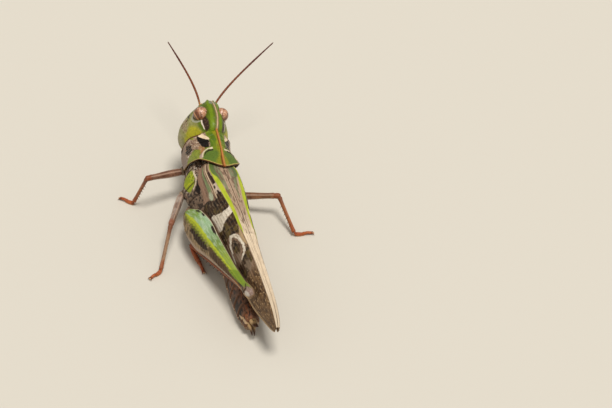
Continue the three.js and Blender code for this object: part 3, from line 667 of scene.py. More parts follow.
def make_trunk():
    cap = np.radians(np.linspace(15, 85, 6))
    aft = np.concatenate([np.linspace(-6.4, 23.2, 420), 23.2 + 0.12 * np.sin(cap)])
    scale = np.concatenate([np.ones(420), np.cos(cap)])
    aft, a = rings(aft, 144)
    scale = scale[:, None]
    half, top, bottom, shift = trunk_rows(aft)
    rise = power(np.sin(a), 0.85)
    taper = 1 - 0.16 * rise * step(aft, 8.5, 6.0)
    l = scale * half * power(np.cos(a), 0.75) * taper
    z = (top + bottom) / 2 + scale * (top - bottom) / 2 * rise
    degrees = (np.degrees(a) + 180) % 360 - 180  # 90 on top, -90 below
    level = np.where(np.abs(degrees) > 90, np.sign(degrees) * 180 - degrees, degrees)  # 0 at both sides
    y = level * TRUNK_DEGREE
    height = 0 * aft
    ring_edge = NOWHERE + 0 * aft
    for start, end in zip(SEGMENTS, SEGMENTS[1:]):
        k = (aft - start) / (end - start)
        inside = (k >= 0) & (k < 1)
        height += np.where(inside, 0.10 * k - 0.16 * hump(k, 0.10), 0)
        ring_edge = np.maximum(ring_edge, 0.16 - np.abs(aft - end + 0.1))
    on_abdomen = step(aft, 6.6, 7.0)
    fold = stroke(aft, y, [(6.9, -1.9), (15, -2.1), (23.3, -2.4)])
    height -= on_abdomen * 0.12 * hump(fold, 0.12)
    seams = widest(stroke(aft, y, [(-2.9, -4.2), (-3.6, -1.5), (-3.2, 1.5)]),
        stroke(aft, y, [(-0.2, -4.2), (-1.2, -1.5), (-0.6, 1.5)]),
        stroke(aft, y, [(1.4, -4.2), (0.9, -1.5), (1.7, 1.5)]),
        stroke(aft, y, [(4.4, -4.2), (3.9, -1.0), (5.0, 1.5)]))
    plates = np.maximum(stroke(aft, y, [(-4.4, -3.7), (-1.5, -4.0), (1.5, -4.1), (6.9, -4.0)]), seams)
    height -= (1 - on_abdomen) * 0.13 * hump(plates, 0.11)
    height += (1 - on_abdomen) * 0.05 * np.sin(aft * 2.1) * np.cos(y * 1.3)
    pores = widest(*(oval(aft, y, (start + 0.55, -1.55), (0.13, 0.19)) for start in SEGMENTS[:8]))
    height -= 0.06 * step(pores, -0.05, 0.1)
    p = stack(-aft, shift + l, z)
    form = Form()
    form.grid(
        room(raised(p, height)), stack(aft, y, np.sign(l) * 5),
        rim=np.minimum(ring_edge, on_abdomen - 0.5),
        seam=(1 - on_abdomen) * (0.14 + plates) - on_abdomen,
        pore=pores,
        belly=-2.3 - y,
        stern=on_abdomen - 0.5,
        lime=patch(aft, y, [(-3.3, 1.2), (-2.4, 1.7), (-1.3, 1.75), (-0.5, 1.4), (0, 0.8), (0.1, 0.1),
            (-0.8, -0.4), (-2.2, -0.6), (-3.4, -0.1)]),
        mauve=patch(aft, y, [(0.2, 2.0), (3.0, 1.8), (6.0, 1.0), (6.5, -1.0), (3.0, -2.0), (0.4, -1.0)]),
        ink=patch(aft, y, [(-0.3, 2.1), (1.2, 2.2), (1.7, 1.2), (0.7, 0.9), (0.2, 1.3)]),
        cream=stroke(aft, y, [(-2.5, 1.75), (-1.0, 2.0), (-0.3, 1.6), (0.3, 0.7)], 0.28, 0.14),
        # dark blots on the abdomen's side, near the tip and lower down
        soot=widest(patch(aft, y, [(19.0, 0.3), (21.6, 0.8), (22.4, -1.4), (20.4, -1.8), (18.6, -1.0)]),
            oval(aft, y, (12.5, -0.8), (1.6, 0.5)), oval(aft, y, (16, -1.0), (1.2, 0.5))),
        edge=stroke(aft, y, [(13, -2.9), (18, -2.7), (23.3, -2.2)], 0.5, 0.35),
        tail=stroke(aft, y, [(21.6, -0.6), (23.3, 0.4)], 0.35, 0.9))
    paint = Paint("trunk_cuticle", "#6d5342")
    mark, cloud, lay = paint.mark, paint.cloud, paint.lay
    big, fine = paint.noise(0.9), paint.noise(0.22)
    cloud("#a18a74", 0.55, 0.05, 0.07, 0.8)
    cloud("#21160f", 0.5, -0.045, 0.05, 0.9, (1, 1.4, 1))
    stern = paint.within("stern", 0.3)
    lay(stern, "#5b3a28", 0.8)
    cloud("#95552f", 0.6, 0.07, 0.06, 0.8, (2, 1, 1), over=stern)
    cloud("#1b110c", 0.7, -0.05, 0.06, 0.9, over=stern)
    cloud("#cfc0ae", 0.3, 0.11, 0.04, 0.8, over=1.0 - stern)
    mark("belly", "#a8957b", 0.4, 0.3, 0.6, 0.85)
    mark("mauve", "#75604e", 0.2, 0.4, 0.5, 0.8)
    cloud("#241a14", 0.4, 0.02, 0.05, 0.85, over=paint.within("mauve", 0.2))
    mark("lime", "#95a31e", 0.12, 0.35, 0.55)
    cloud("#b3b62a", 0.5, 0.06, 0.06, 0.8, (1, 2, 1), over=paint.within("lime", 0.15))
    cloud("#33301a", 0.35, -0.15, 0.04, 0.8, over=paint.within("lime", 0.15))
    mark("ink", "#1c120c", 0.1, 0.2, 0.3)
    mark("cream", "#d8c8ac", 0.06, 0.1, 0.3)
    # dark blots on the abdomen's side
    mark("soot", "#231812", 0.15, 0.3, 0.5)
    mark("seam", "#2f2117", 0.07, 0.04, 0.3, 0.7)
    mark("rim", "#735039", 0.08, 0.12, 0.3, 0.6)
    mark("edge", "#c7ac90", 0.1, 0.08, 0.4)
    mark("tail", "#cfb08a", 0.1, 0.15, 0.4, 0.8)
    mark("pore", "#140d09", 0.04)
    paint.shade(big + fine * 1.5, 0.5)
    bump = fine * 0.03 + paint.noise(0.08) * 0.014
    form.piece("trunk_skin", paint.finish(0.5 + fine * 0.3, bump), "thorax_cuticle", "thorax",
        "abdomen_front", "abdomen_mid", "abdomen_rear")


# ---- wings ----
wing_rows = through([[-1.9, 0.06, -0.80, 1.55, -1.05, 2.35, -2.0, 2.6, -2.9],
    [0, 0.06, -0.50, 2.05, -0.85, 2.75, -2.4, 3.0, -3.8],
    [3.5, 0.06, -0.30, 1.85, -0.65, 2.75, -2.7, 2.95, -5.0],
    [8.5, 0.06, -0.25, 1.20, -0.52, 2.18, -2.9, 2.20, -5.4],
    [13, 0.06, -0.25, 0.78, -0.48, 1.78, -2.9, 1.85, -5.3],
    [18, 0.06, -0.35, 0.50, -0.55, 1.42, -2.7, 1.45, -4.9],
    [23, 0.06, -0.65, 0.45, -0.80, 1.10, -2.6, 1.20, -4.4],
    [26, 0.06, -1.05, 0.36, -1.15, 0.75, -2.5, 0.80, -3.8],
    [28, 0.06, -1.65, 0.28, -1.70, 0.46, -2.4, 0.50, -3.3],
    [WING_END, 0.06, -2.1, 0.20, -2.14, 0.28, -2.5, 0.30, -3.0]])
ACROSS = np.array([0, 0.28, 0.64, 1.0])


def wing_point(aft, s, side):
    """aft and s are grids; s runs from the inner edge over the shoulder to the lower edge."""
    rows = np.stack(wing_rows(aft), -1)
    return stack(-aft, side * curve(ACROSS, rows[..., 0::2], s), curve(ACROSS, rows[..., 1::2], s))


VEINS = [(0.035, 0.0), (0.085, 0.0), (0.145, 0.001), (0.2, 0.0005), (0.285, 0.0), (0.36, 0.0004),
    (0.43, 0.0003), (0.5, 0.0), (0.56, 0.0005), (0.63, -0.0003), (0.7, 0.0004), (0.77, 0.0), (0.85, 0.0),
    (0.93, 0.0)]
CHORD = 7.5


def make_wing(side):
    aft, s = np.meshgrid(np.linspace(-1.9, WING_END, 390), np.linspace(0, 1, 125), indexing="ij")
    p = wing_point(aft, s, side)
    c = s * CHORD
    gap = np.min([np.abs(s - at - slope * aft) for at, slope in VEINS], axis=0)
    veins = 0.06 - gap * CHORD * step(aft, 33, 14)
    height = 0.03 * step(veins, -0.09, 0.04) + 0.05 * hump(s - 0.285, 0.012) * step(aft, 24, 18)
    height += 0.03 * np.sin(c * 2.4 + 0.8 * np.sin(aft * 0.5)) * step(s, 0.3, 0.4)
    outer, inner = raised(p, -side * height, wrap=False), raised(p, side * (WING_SHEET + 0 * s), wrap=False)
    for face in (outer, inner):  # the wings meet over the back without crossing
        face[..., 1] = side * np.maximum(side * face[..., 1], WING_GAP)
    form = Form()
    form.sheet(
        room(outer), room(inner), stack(aft, c, side * 7),
        vein=veins,
        back=1.98 - c + 0.045 * (aft - 9).clip(0, 9),
        grain=np.minimum(1.05 - c, 13 - aft),
        lime=patch(aft, c + (0 if side > 0 else -0.35), [(-2, 1.35), (0.5, 1.25), (3, 1.1), (6, 1.02),
            (9, 1.2), (11.5, 1.6), (13.2, 2.1), (11, 2.3), (9, 2.0), (5, 1.93), (1, 2.0), (-2, 1.95)]),
        leaf=patch(aft, c,
            [(-2, 1.1), (0.4, 1.0), (2.8, 0.92), (3.4, 1.02), (1.6, 1.35), (0.7, 1.85), (-2, 1.95)]),
        teal=patch(aft, c,
            [(-1, 0.55), (1, 0.5), (4, 0.5), (6.4, 0.62), (5.6, 0.84), (2.5, 0.95), (-1, 1.05)]),
        cream=widest(stroke(aft, c, [(-1.9, 2.2), (1.2, 2.2)], 0.32, 0.16),
            stroke(aft, c, [(-1.5, 3.1), (1, 3.05), (3, 3.0), (5.2, 3.2)], 0.26, 0.12),
            stroke(aft, c, [(-1.5, 3.55), (2, 3.4), (4, 3.4)], 0.14, 0.08)),
        maroon=patch(aft, c, [(0.2, 2.3), (2.6, 2.12), (3.0, 2.5), (2.3, 2.88), (0.3, 2.9)]),
        fleck=patch(aft, c, [(2.7, 2.05), (4.6, 1.95), (4.6, 2.9), (3.4, 3.1), (2.8, 2.9)]),
        dots=widest(oval(aft, c, (3.35, 2.75), (0.3, 0.2)), oval(aft, c, (4.5, 2.5), (0.5, 0.22))),
        moss=stroke(aft, c, [(-1.2, 4.1), (1.5, 3.95), (3.3, 3.8)], 0.55, 0.62),
        mint=oval(aft, c, (4.1, 4.0), (0.75, 0.42)),
        rose=patch(aft, c, [(-2, 4.6), (4.0, 4.7), (5.1, 5.6), (4.6, 7.2), (-2, 7.4)]),
        dark=widest(
            patch(aft, c, [(4.7, 1.98), (7.3, 1.9), (7.7, 2.6), (7.6, 3.5), (7.1, 4.4), (6.4, 5.4),
            (6.2, 7.3), (3.4, 7.3), (3.9, 5.8), (4.2, 4.8), (5.2, 3.6), (4.6, 2.7)]),
            patch(aft, c, [(8.8, 2.05), (12.6, 2.45), (12.1, 3.3), (11.5, 4.2), (11.5, 5.1), (12.4, 5.9),
            (13.6, 6.4), (14.6, 7.3), (8.5, 7.3), (9.2, 6), (9.6, 5), (9.1, 3.6)]),
            patch(aft, c, [(14.8, 2.5), (17.5, 2.6), (18.6, 4.0), (19.2, 5.6), (18.8, 7.3), (16.0, 7.3),
            (16.6, 5.6), (16.4, 4.3), (15.8, 3.2)]), oval(aft, c, (13.9, 4.15), (1.25, 0.6)),
            oval(aft, c, (14.3, 6.9), (1.8, 0.5))),
        pale=widest(
            patch(aft, c, [(7.3, 1.95), (8.7, 2.0), (8.9, 3.0), (9.4, 4.4), (9.5, 5.4), (8.9, 6.2),
            (8.3, 7.4), (6.2, 7.4), (6.4, 5.4), (7.1, 4.4), (7.6, 3.5), (7.7, 2.6)]),
            stroke(aft, c, [(11.7, 4.1), (12.1, 3.6), (12.9, 3.2), (14.4, 3.0), (15.5, 3.3), (16.1, 4.2)],
            0.55, 0.3),
            stroke(aft, c, [(11.7, 4.1), (12.8, 5.0), (14.3, 5.5), (16.2, 6.0)], 0.55, 0.26)),
        marble=widest(oval(aft, c, (15.5, 4.5), (0.9, 0.5)), oval(aft, c, (17.9, 3.6), (0.9, 0.5))),
        sand=patch(aft, c, [(11.2, 2.3), (14.9, 2.4), (14.2, 2.85), (12.8, 3.0)]),
        tip=aft - 19.0,
        costa=np.minimum((s - 0.93) * CHORD, aft - 14))
    paint = Paint("forewing_" + WORDS[side], "#6a503e")
    mark, cloud, lay = paint.mark, paint.cloud, paint.lay
    streak = paint.noise(0.35, (4, 1, 1))
    big, fine = paint.noise(0.8), paint.noise(0.16)
    cloud("#9a8068", 0.35, 0.02, 0.12, 0.7, (4, 1, 1))
    mark("rose", "#9a7862", 0.2, 0.4, 0.6, 0.9, (2, 1, 1))
    mark("tip", "#6c4f30", 1.5, 1.2, 1.2)
    tip = paint.mask(paint.field("tip") + big * 3.0, 1.2)
    cloud("#3a2310", 0.7, 0.01, 0.07, 0.9, (1.5, 1, 1), over=tip)
    cloud("#b3946a", 0.35, -0.1, 0.05, 0.8, (1.2, 1, 1), over=tip)
    mark("moss", "#7d8f60", 0.1, 0.15, 0.4, 0.9, (2, 1, 1))
    mark("mint", "#bcc4a6", 0.12, 0.15, 0.4, 0.9)
    mark("maroon", "#2c170d", 0.09, 0.12, 0.4)
    mark("fleck", "#c8b39e", 0.08, 0.15, 0.4)
    mark("pale", "#e4d8c4", 0.07, 0.22, 0.35)
    pale = paint.mask(paint.field("pale") + fine * 0.3, 0.08)
    cloud("#9a866c", 0.35, 0.09, 0.06, 0.5, (1.5, 1, 1), over=pale)
    mark("dark", "#382413", 0.07, 0.25, 0.4)
    dark = paint.mask(paint.field("dark") + fine * 0.3, 0.08)
    cloud("#665626", 1.1, 0.07, 0.08, 0.65, (1.3, 1, 1), over=dark)
    cloud("#180f09", 0.8, -0.03, 0.06, 0.95, (0.8, 1.3, 1), over=dark)
    cloud("#84705a", 0.36, 0.12, 0.04, 0.7, (1.6, 1, 1), over=dark)
    mark("marble", "#84705c", 0.15, 0.5, 0.35, 0.8)
    mark("dots", "#1c110b", 0.08, 0.1, 0.3)
    mark("sand", "#b2956f", 0.1, 0.2, 0.4)
    mark("back", "#bba086", 0.06, 0.05, 0.4)
    back = paint.within("back", 0.06)
    lay(back * paint.mask(paint.axis(0) - 10.0 + big * 2.0, 2.5), "#edd9bc", 0.9)
    cloud("#94765f", 0.35, -0.06, 0.1, 0.35, (4, 1, 1), over=back)
    mark("teal", "#7d8462", 0.08, 0.1, 0.5, 0.9, (3, 1, 1))
    mark("lime", "#b5bc34", 0.09, 0.08, 0.5, 1.0, (3, 1, 1))
    lime = paint.within("lime")
    cloud("#8fa41c", 0.6, 0.04, 0.1, 0.6, (3, 0.7, 1), over=lime)
    mark("leaf", "#4a6238", 0.15, 0.1, 0.5, 0.9, (3, 1, 1))
    cloud("#6b5040", 0.35, 0.03, 0.05, 0.8, (4, 1, 1),
        over=paint.mask(paint.field("grain") + streak * 0.6, 0.1))
    mark("cream", "#d3b898", 0.05, 0.05, 0.4)
    mark("costa", "#b89a72", 0.1, 0.1, 0.4, 0.7)
    net = paint.mask(0.045 - paint.cells(0.27, (1.6, 0.8, 1), "DISTANCE_TO_EDGE"), 0.03)
    bare = net * (1.0 - lime) * (1.0 - back * 0.7)
    lay(bare, "#6a5644", 0.14)
    lay(paint.mask(paint.field("vein") + 0.02, 0.05) * (1.0 - lime), "#86705a", 0.22)
    paint.shade((streak + fine) * (1.0 - back * 0.5), 0.5)
    bump = bare * 0.006 + fine * 0.015 + streak * 0.02
    skin = paint.finish(0.5 + fine * 0.3, bump, specular=0.2)
    form.piece("forewing_" + WORDS[side], skin, "forewing", "wing_" + WORDS[side])


def make_hind_wings():
    rows = through([[9, 0.8, -1.25, -1.95], [14, 0.6, -1.3, -2.15], [19, 0.5, -1.6, -2.9],
        [23, 0.38, -1.9, -3.6], [26, 0.2, -2.2, -3.3], [27, 0.15, -2.4, -2.9]])
    aft, a = rings(np.linspace(9, 27, 90), 72)
    half, top, bottom = rows(aft)
    pleats = 1 - 0.12 * np.abs(np.sin(a * 9))
    rise = (top - bottom) / 2 * np.sin(a) * pleats
    form = Form()
    form.grid(room(stack(-aft, half * np.cos(a) * pleats * 0.85, (top + bottom) / 2 + rise)),
        stack(aft, a * 0.6, 0), pleat=0.9 - pleats)
    paint = Paint("hind_wing_membrane", "#c9b26a")
    paint.lay(paint.mask(paint.axis(0) - 20.0 + paint.noise(1.0) * 4.0, 1.0), "#8e7448", 0.9)
    paint.cloud("#5f4a32", 0.5, 0.04, 0.1, 0.7, (3, 1, 1))
    paint.mark("pleat", "#6f5638", 0.05)
    form.small("hind_wings_folded", paint, "hind_wing", "hind_wings", rough=0.45, grain=0.15, cloud=0.3)


# ---- mouth, ocelli and feelers ----
def lump(form, centre, size, turned=FRONT, squash=1.0, count=24, **fields):
    """A rounded body with half axes size (u, l, z), narrower below where squash is under 1."""
    p, a = rings(np.radians(np.linspace(4, 176, count)), 2 * count)
    narrow = 1 - (1 - squash) * step(-np.cos(p), -0.2, 1.0)
    ball = stack(np.sin(p) * np.cos(a) * narrow, np.sin(p) * np.sin(a) * narrow, np.cos(p)) * size
    form.grid(room(ball + centre, turned), ball, **fields)


def make_mouth():
    # height, front, half width of the upper lip
    rows = through([[-8.15, 11.74, 0.4], [-8.05, 11.82, 0.75], [-7.8, 11.98, 1.12], [-7.3, 12.34, 1.42],
        [-6.8, 12.72, 1.48], [-6.3, 12.9, 1.36], [-6.12, 12.75, 1.2]])
    z, a = rings(np.linspace(-6.12, -8.15, 70), 90)
    front, half = rows(z)
    l = half * power(np.sin(a), 0.8)
    notch = 0.3 * hump(l, 0.22) * step(z, -7.5, -8.15)
    u = front - 0.22 - 0.1 * l ** 2 + 0.22 * power(np.cos(a), 0.7)
    groove = 0.06 * hump(l, 0.5) * step(z, -7.6, -6.7) - 0.06 * hump(z + 6.75 + 0.06 * l ** 2, 0.06)
    form = Form()
    form.grid(room(raised(stack(u, l, z + notch), groove * step(np.cos(a), 0, 0.3)), FRONT), stack(u, l, z),
        tip=-7.75 - z + 0.2 * l ** 2)
    paint = Paint("labrum_horn", "#a3966a")
    paint.cloud("#8c8848", 0.4, 0, 0.15, 0.7)
    paint.cloud("#6a5c30", 0.22, 0.12, 0.05, 0.6)
    paint.mark("tip", "#66492a", 0.25, 0.15, 0.3, 0.8)
    form.small("labrum_plate", paint, "mouthparts", "labrum", rough=0.4)

    jaws = Form()
    for side in WORDS:
        lump(jaws, (11.35, side * 0.68, -7.35), (0.62, 0.66, 0.62), squash=0.7, tip=1)
        lump(jaws, (10.75, side * 1.05, -7.3), (0.42, 0.36, 0.52), squash=0.8, tip=NOWHERE)
    lump(jaws, (10.2, 0, -7.3), (0.42, 1.0, 0.46), squash=0.8, tip=NOWHERE)
    paint = Paint("jaw_horn", "#8f7f58")
    paint.cloud("#a89a6c", 0.4, 0, 0.2, 0.7)
    paint.mark("tip", "#2f1a10", 0.4)
    jaws.small("mandibles", paint, "mouthparts", rough=0.35, grain=0.12, shade=0.4)

    chains = [[(10.8, 1.1, -7.4), (11.1, 1.45, -7.7), (11.55, 1.5, -8.05), (11.6, 1.4, -8.45),
        (11.45, 1.25, -8.8)],
        [(10.3, 0.6, -7.6), (10.55, 0.85, -7.95), (10.75, 0.85, -8.3), (10.7, 0.75, -8.6)]]
    k = np.linspace(0, 1, 9)
    for side, word in WORDS.items():
        palp = Form()
        for chain in chains:
            joints = np.array(chain) * [1, side, 1]
            for a, b in zip(joints, joints[1:]):
                palp.tube(room(a + (b - a) * k[:, None], FRONT),
                    0.11 + 0.06 * np.sin(np.pi * (0.1 + 0.7 * k)), 14)
        paint = Paint("palp_skin_" + word, "#a98e5e")
        paint.cloud("#8a7040", 0.3, 0, 0.15, 0.7)
        palp.small("palps_" + word, paint, "mouthparts", "palp_" + word, rough=0.4, grain=0.08, depth=0.015,
            cloud=0.15, shade=0.4)


def make_ocelli():
    for name, z, degrees in (("middle", -2.25, 0), ("left", -0.5, 30), ("right", -0.5, -30)):
        form = Form()
        lump(form, head_point(z, math.radians(degrees)) + [0.02, 0, 0], (0.12, 0.17, 0.17), count=16)
        paint = Paint("ocellus_" + name, "#c9a25a")
        paint.cloud("#a87a34", 0.12, 0, 0.1, 0.7)
        skin = paint.finish(0.15, paint.noise(0.05) * 0.004, specular=0.6, coat=0.4)
        form.piece("ocellus_" + name, skin, "compound_eye")


def heading(turn_by, rise):
    t, r = math.radians(turn_by), math.radians(rise)
    return np.array([math.sin(t) * math.cos(r), -math.cos(t) * math.cos(r), math.sin(r)])


def make_antenna(side, turns, rises):
    base = room([12.75, side * 0.8, -1.5], FRONT)
    bend = base + heading(turns[0], rises[0]) * ANTENNA_LENGTH * 0.25
    tip = base + heading(turns[1], rises[1]) * ANTENNA_LENGTH
    third = bend + (tip - bend) * 0.4
    joints, each, around = 24, 12, 16
    k = np.linspace(0, 1, joints * each + 1)
    to_joint = np.abs((k * joints + 0.5) % 1 - 0.5)
    length = k * ANTENNA_LENGTH
    radius = 0.135 + 0.025 * hump(k - 0.3, 0.25) - 0.05 * step(k, 0.75, 1.0)
    radius *= (1 - 0.16 * hump(to_joint, 0.12)) * np.sqrt(np.clip((1 - k) / 0.012, 0.05, 1))
    radius += 0.19 * step(length, 0.62, 0.5) * (1 - 0.3 * hump(length - 0.05, 0.1))
    radius += 0.08 * (between(length, 0.62, 0.95) > 0)
    along, a = rings(length, around)
    k = k[:, None]
    path = (1 - k) ** 3 * base + 3 * k * (1 - k) ** 2 * bend + 3 * k * k * (1 - k) * third + k ** 3 * tip
    form = Form()
    form.tube(path, radius, around, place=stack(along, a * 0.15, side), joint=0.11 - to_joint[:, None],
        base=1.6 - along, end=along - 8.5)
    paint = Paint("antenna_" + WORDS[side], "#74391f")
    paint.cloud("#874a29", 0.8, 0, 0.3, 0.8)
    paint.mark("end", "#56241a", 2.5, 0.6, 1.0)
    paint.mark("base", "#b07a3c", 0.9, 0.3, 0.6)
    paint.mark("joint", "#4e2416", 0.05, 0.0, 0.3, 0.6)
    form.small("feeler_" + WORDS[side], paint, "antenna_horn", "antenna_" + WORDS[side], rough=0.45,
        grain=0.06, depth=0.01, shade=0.6)


# ---- legs ----
# hip in body axes, knee in the room or, for a hind leg, in body axes, ankle and toe on the floor
LEGS = {
    "front_left": ((6.5, 2.6, -7.0), (5.6, 9.75, 6.05), (7.6, 11.3), (9.3, 12.9)),
    "front_right": ((5.5, -2.4, -7.1), (10.3, -2.9, 4.0), (9.2, -3.4), (11.2, -3.6)),
    "mid_left": ((2.1, 3.65, -7.6), (-3.4, 8.6, 4.9), (-7.3, 11.1), (-8.3, 12.8)),
    "mid_right": ((2.1, -3.2, -7.3), (-0.5, -7.45, 3.8), (-5.0, -8.3), (-5.4, -10.8)),
    "hind_left": ((-1.7, 3.75, -7.45), (-22.6, 1.95, -2.35), (-3.9, 5.95), (-9.1, 5.6)),
    "hind_right": ((-1.7, -3.6, -6.7), (-21.2, -1.9, -5.0), (-3.2, -2.6), (-8.4, -1.8)),
}


def limb(start, end, out, rows, steps, around):
    """Rings along a line, as in the CAD part: rows are share, half size along out, half size across."""
    axis = end - start
    across = unit(np.cross(axis, out))
    side = unit(np.cross(across, axis))
    t, a = rings(np.linspace(rows[0][0], rows[-1][0], steps), around)
    w, h = through(rows)(t)
    ring = (w * np.cos(a))[..., None] * side + (h * np.sin(a))[..., None] * across
    return start + t[..., None] * axis + ring, t, a, h


def spine(form, first, last, radius, bend=0.0, **fields):
    k = np.linspace(0, 1, 8)[:, None]
    path = first + (last - first) * k + bend * np.sin(np.pi * k)
    form.tube(path, radius * (1.02 - k[:, 0]) ** 0.8, 8, **fields)


def hind_femur(word, hip, knee, side):
    rows = [[0, 0.55, 0.9], [0.05, 0.85, 1.35], [0.14, 1.15, 2.15], [0.26, 1.15, 2.3], [0.42, 1.0, 1.75],
        [0.6, 0.72, 1.2], [0.78, 0.5, 0.78], [0.9, 0.47, 0.64], [0.96, 0.56, 0.78], [1, 0.52, 0.72],
        [1.03, 0.34, 0.42]]
    p, t, a, h = limb(hip, knee, BODY @ [side * 0.96, 0, 0.28], rows, 380, 144)
    length = np.linalg.norm(knee - hip)
    x = t * length
    angle = (np.degrees(a) * side + 180) % 360 - 180  # 0 outer face, -90 upper edge, 90 lower edge
    y = -h * np.sin(np.radians(angle))  # mm above the middle line
    outer = step(np.cos(np.radians(angle)), -0.05, 0.25)
    d = angle * FEMUR_DEGREE
    upper_keel = stroke(x, d, [(0.8, -0.35), (4, -0.6), (12, -0.6), (19.0, -0.35)])
    lower_keel = stroke(x, d, [(0.8, 1.3), (4, 1.75), (12, 1.75), (19.0, 1.2)])
    shaft = step(t, 0.02, 0.06) * step(t, 0.93, 0.88)
    height = shaft * (0.09 * hump(upper_keel, 0.1) + 0.07 * hump(lower_keel, 0.1))
    height += shaft * (0.12 * hump(np.abs(d) - 3.15, 0.14) + 0.05 * hump(np.abs(d) - 3.15 + 0.5, 0.1))
    middle = (y + 0.15 * h) / np.maximum(h, 0.3)
    phase = x - 0.9 * np.abs(middle) * h - 0.1
    beat = np.abs(((phase / 0.72) % 1) - 0.5) * 2
    chevron = outer * shaft * step(t, 0.03, 0.08) * step(t, 0.84, 0.76)
    chevron *= step(d, -0.5, -0.3) * step(d, 1.75, 1.55)
    height += chevron * (0.07 * step(beat, 0.35, 0.8) - 0.03 + 0.05 * hump(middle, 0.06))
    lobe = hump(np.hypot(x - length * 0.985, y * 0.9 - 0.1) - 0.5, 0.1) * step(t, 0.93, 0.95)
    height += 0.06 * lobe - 0.05 * hump(stroke(x, d, [(19.6, -1.0), (20.6, 0.0), (20.9, 1.6)]), 0.1)
    plate = step(t, 0.9, 0.93) * step(np.abs(angle), 100, 80) * step(t, 1.01, 0.99)
    height += 0.08 * plate * step(y, -h * 0.75, -h * 0.4)
    height -= 0.1 * step(t, 0.97, 1.0) * hump(np.abs(angle) - 180, 50)
    form = Form()
    form.grid(
        raised(p, -height), stack(x, d, side * 6),
        lime=np.where(t < 0.93, 0.25 + 0.1 * chevron * beat + upper_keel, -0.3),
        spread=np.minimum(0.75 + upper_keel - 0.25 * beat, 0.86 - t),
        slope=patch(x, d, [(0.2, -0.5), (0.8, -2.5), (3, -2.75), (12, -2.7), (19.6, -2.4), (19.8, -0.3),
            (12, -0.6), (4, -0.6)]),
        green=patch(x, d,
            [(17.0, -2.7), (21.4, -2.4), (21.2, -1.2), (19.6, -0.2), (17.4, 0.4), (15.5, 0.2)]),
        umber=patch(x, d,
            [(9.5, -0.2), (14, -0.1), (18.8, 0.3), (20.3, 0.8), (19, 1.5), (13, 1.6), (10.5, 1.3)]),
        dots=widest(oval(x, d, (2.6, -2.25), (0.55, 0.28)), oval(x, d, (4.0, -2.45), (0.45, 0.22)),
            oval(x, d, (7.9, -2.4), (0.95, 0.32))),
        cream=stroke(x, d, [(1.2, -2.65), (6, -2.75), (15, -2.8)], 0.2, 0.1),
        strip=np.abs(d) - 2.85,
        inner=np.abs(d) - 3.4,
        ribs=chevron * (beat - 0.45),
        blotch=widest(
            patch(x, d, [(4.2, -0.2), (8.5, -0.15), (9.8, 0.5), (8.8, 1.1), (6.0, 0.9), (4.0, 0.6)]),
            patch(x, d, [(10.6, 0.0), (12.2, 0.5), (13.8, 1.5), (12.6, 1.6), (11.0, 0.9)])),
        low=np.minimum(d - 1.6, 3.6 - d),
        rust=oval(x, d, (18.4, 1.5), (1.5, 0.4)),
        crescent=widest(stroke(x, d, [(18.8, 0.4), (19.9, 0.0), (20.6, 0.6), (20.9, 1.8)], 0.55, 0.4),
            stroke(x, d, [(20.0, -1.7), (20.8, -0.8), (20.95, 0.6), (20.4, 1.8)], 0.3, 0.24)),
        knee=x - 20.2,
        mauve=patch(x, d, [(20.6, -1.4), (21.6, -2.6), (22.6, -2.6), (22.6, 0), (21.0, 0)]),
        lobe=oval(x, d, (21.55, 0.3), (0.5, 0.8)),
        heel=oval(x, d, (21.2, 2.1), (0.8, 0.8)))
    paint = Paint("hind_femur_" + word, "#7d684a")
    mark, cloud, lay = paint.mark, paint.cloud, paint.lay
    big, fine = paint.noise(0.9), paint.noise(0.2)
    lay(paint.within("ribs", 0.12), "#9f8868", 0.8)
    cloud("#5b4a34", 0.7, 0.05, 0.08, 0.75)
    mark("blotch", "#33261b", 0.12, 0.3, 0.5)
    mark("low", "#a8917a", 0.15, 0.2, 0.5)
    mark("spread", "#848c2a", 0.25, 0.3, 0.4, 0.7)
    mark("slope", "#9ab78f", 0.12, 0.1, 0.6)
    slope = paint.within("slope", 0.12)
    lay(slope * paint.mask(paint.axis(0) - 8.0 + big * 3.0, 3.0), "#64782c", 0.9)
    lay(slope * paint.mask(big * 5.0 - paint.axis(0) + 4.3, 0.8), "#74902c", 0.9)
    cloud("#bccdae", 0.5, 0.03, 0.1, 0.55, (3, 1, 1), over=slope)
    lay(slope * paint.mask(paint.axis(0) - 12.0 + big * 3.0, 3.0), "#93a236", 0.85)
    mark("umber", "#4c3826", 0.2, 0.35, 0.5, 0.9)
    mark("green", "#768c2a", 0.3, 0.3, 0.6)
    mark("dots", "#2d231a", 0.08, 0.2, 0.3)
    mark("lime", "#abb42c", 0.1, 0.3, 0.45, 1.0, (1.5, 1, 1))
    mark("strip", "#4a3626", 0.12, 0.15, 0.4)
    mark("inner", "#7a5a3c", 0.2, 0.2, 0.6, 0.6)
    mark("cream", "#dccbb0", 0.05, 0.06, 0.4)
    mark("rust", "#b8742c", 0.3, 0.2, 0.4, 0.9)
    mark("knee", "#8a7058", 0.4, 0.3, 0.4, 0.85)
    mark("green", "#768c2a", 0.2, 0.3, 0.4, 0.8)
    mark("mauve", "#927a70", 0.12, 0.15, 0.3, 0.9)
    mark("crescent", "#2b1a0c", 0.12, 0.15, 0.3)
    cloud("#5f4a38", 0.3, 0.06, 0.06, 0.7, over=paint.within("knee", 0.3))
    mark("lobe", "#bdb2a6", 0.14, 0.3, 0.3, 0.9)
    mark("heel", "#c79f6c", 0.2, 0.15, 0.3)
    paint.shade(big + fine * 1.4, 0.45)
    bump = fine * 0.02 + paint.noise(0.08) * 0.01
    form.piece("jumping_femur_" + word, paint.finish(0.42 + fine * 0.3, bump), "hind_femur",
        "femur_" + word)


def leg_paint(name, base, second, dark):
    paint = Paint(name, base)
    paint.cloud(second, 0.7, 0, 0.15, 0.8, (2, 1, 1))
    paint.cloud(dark, 0.45, 0.11, 0.06, 0.6)
    return paint


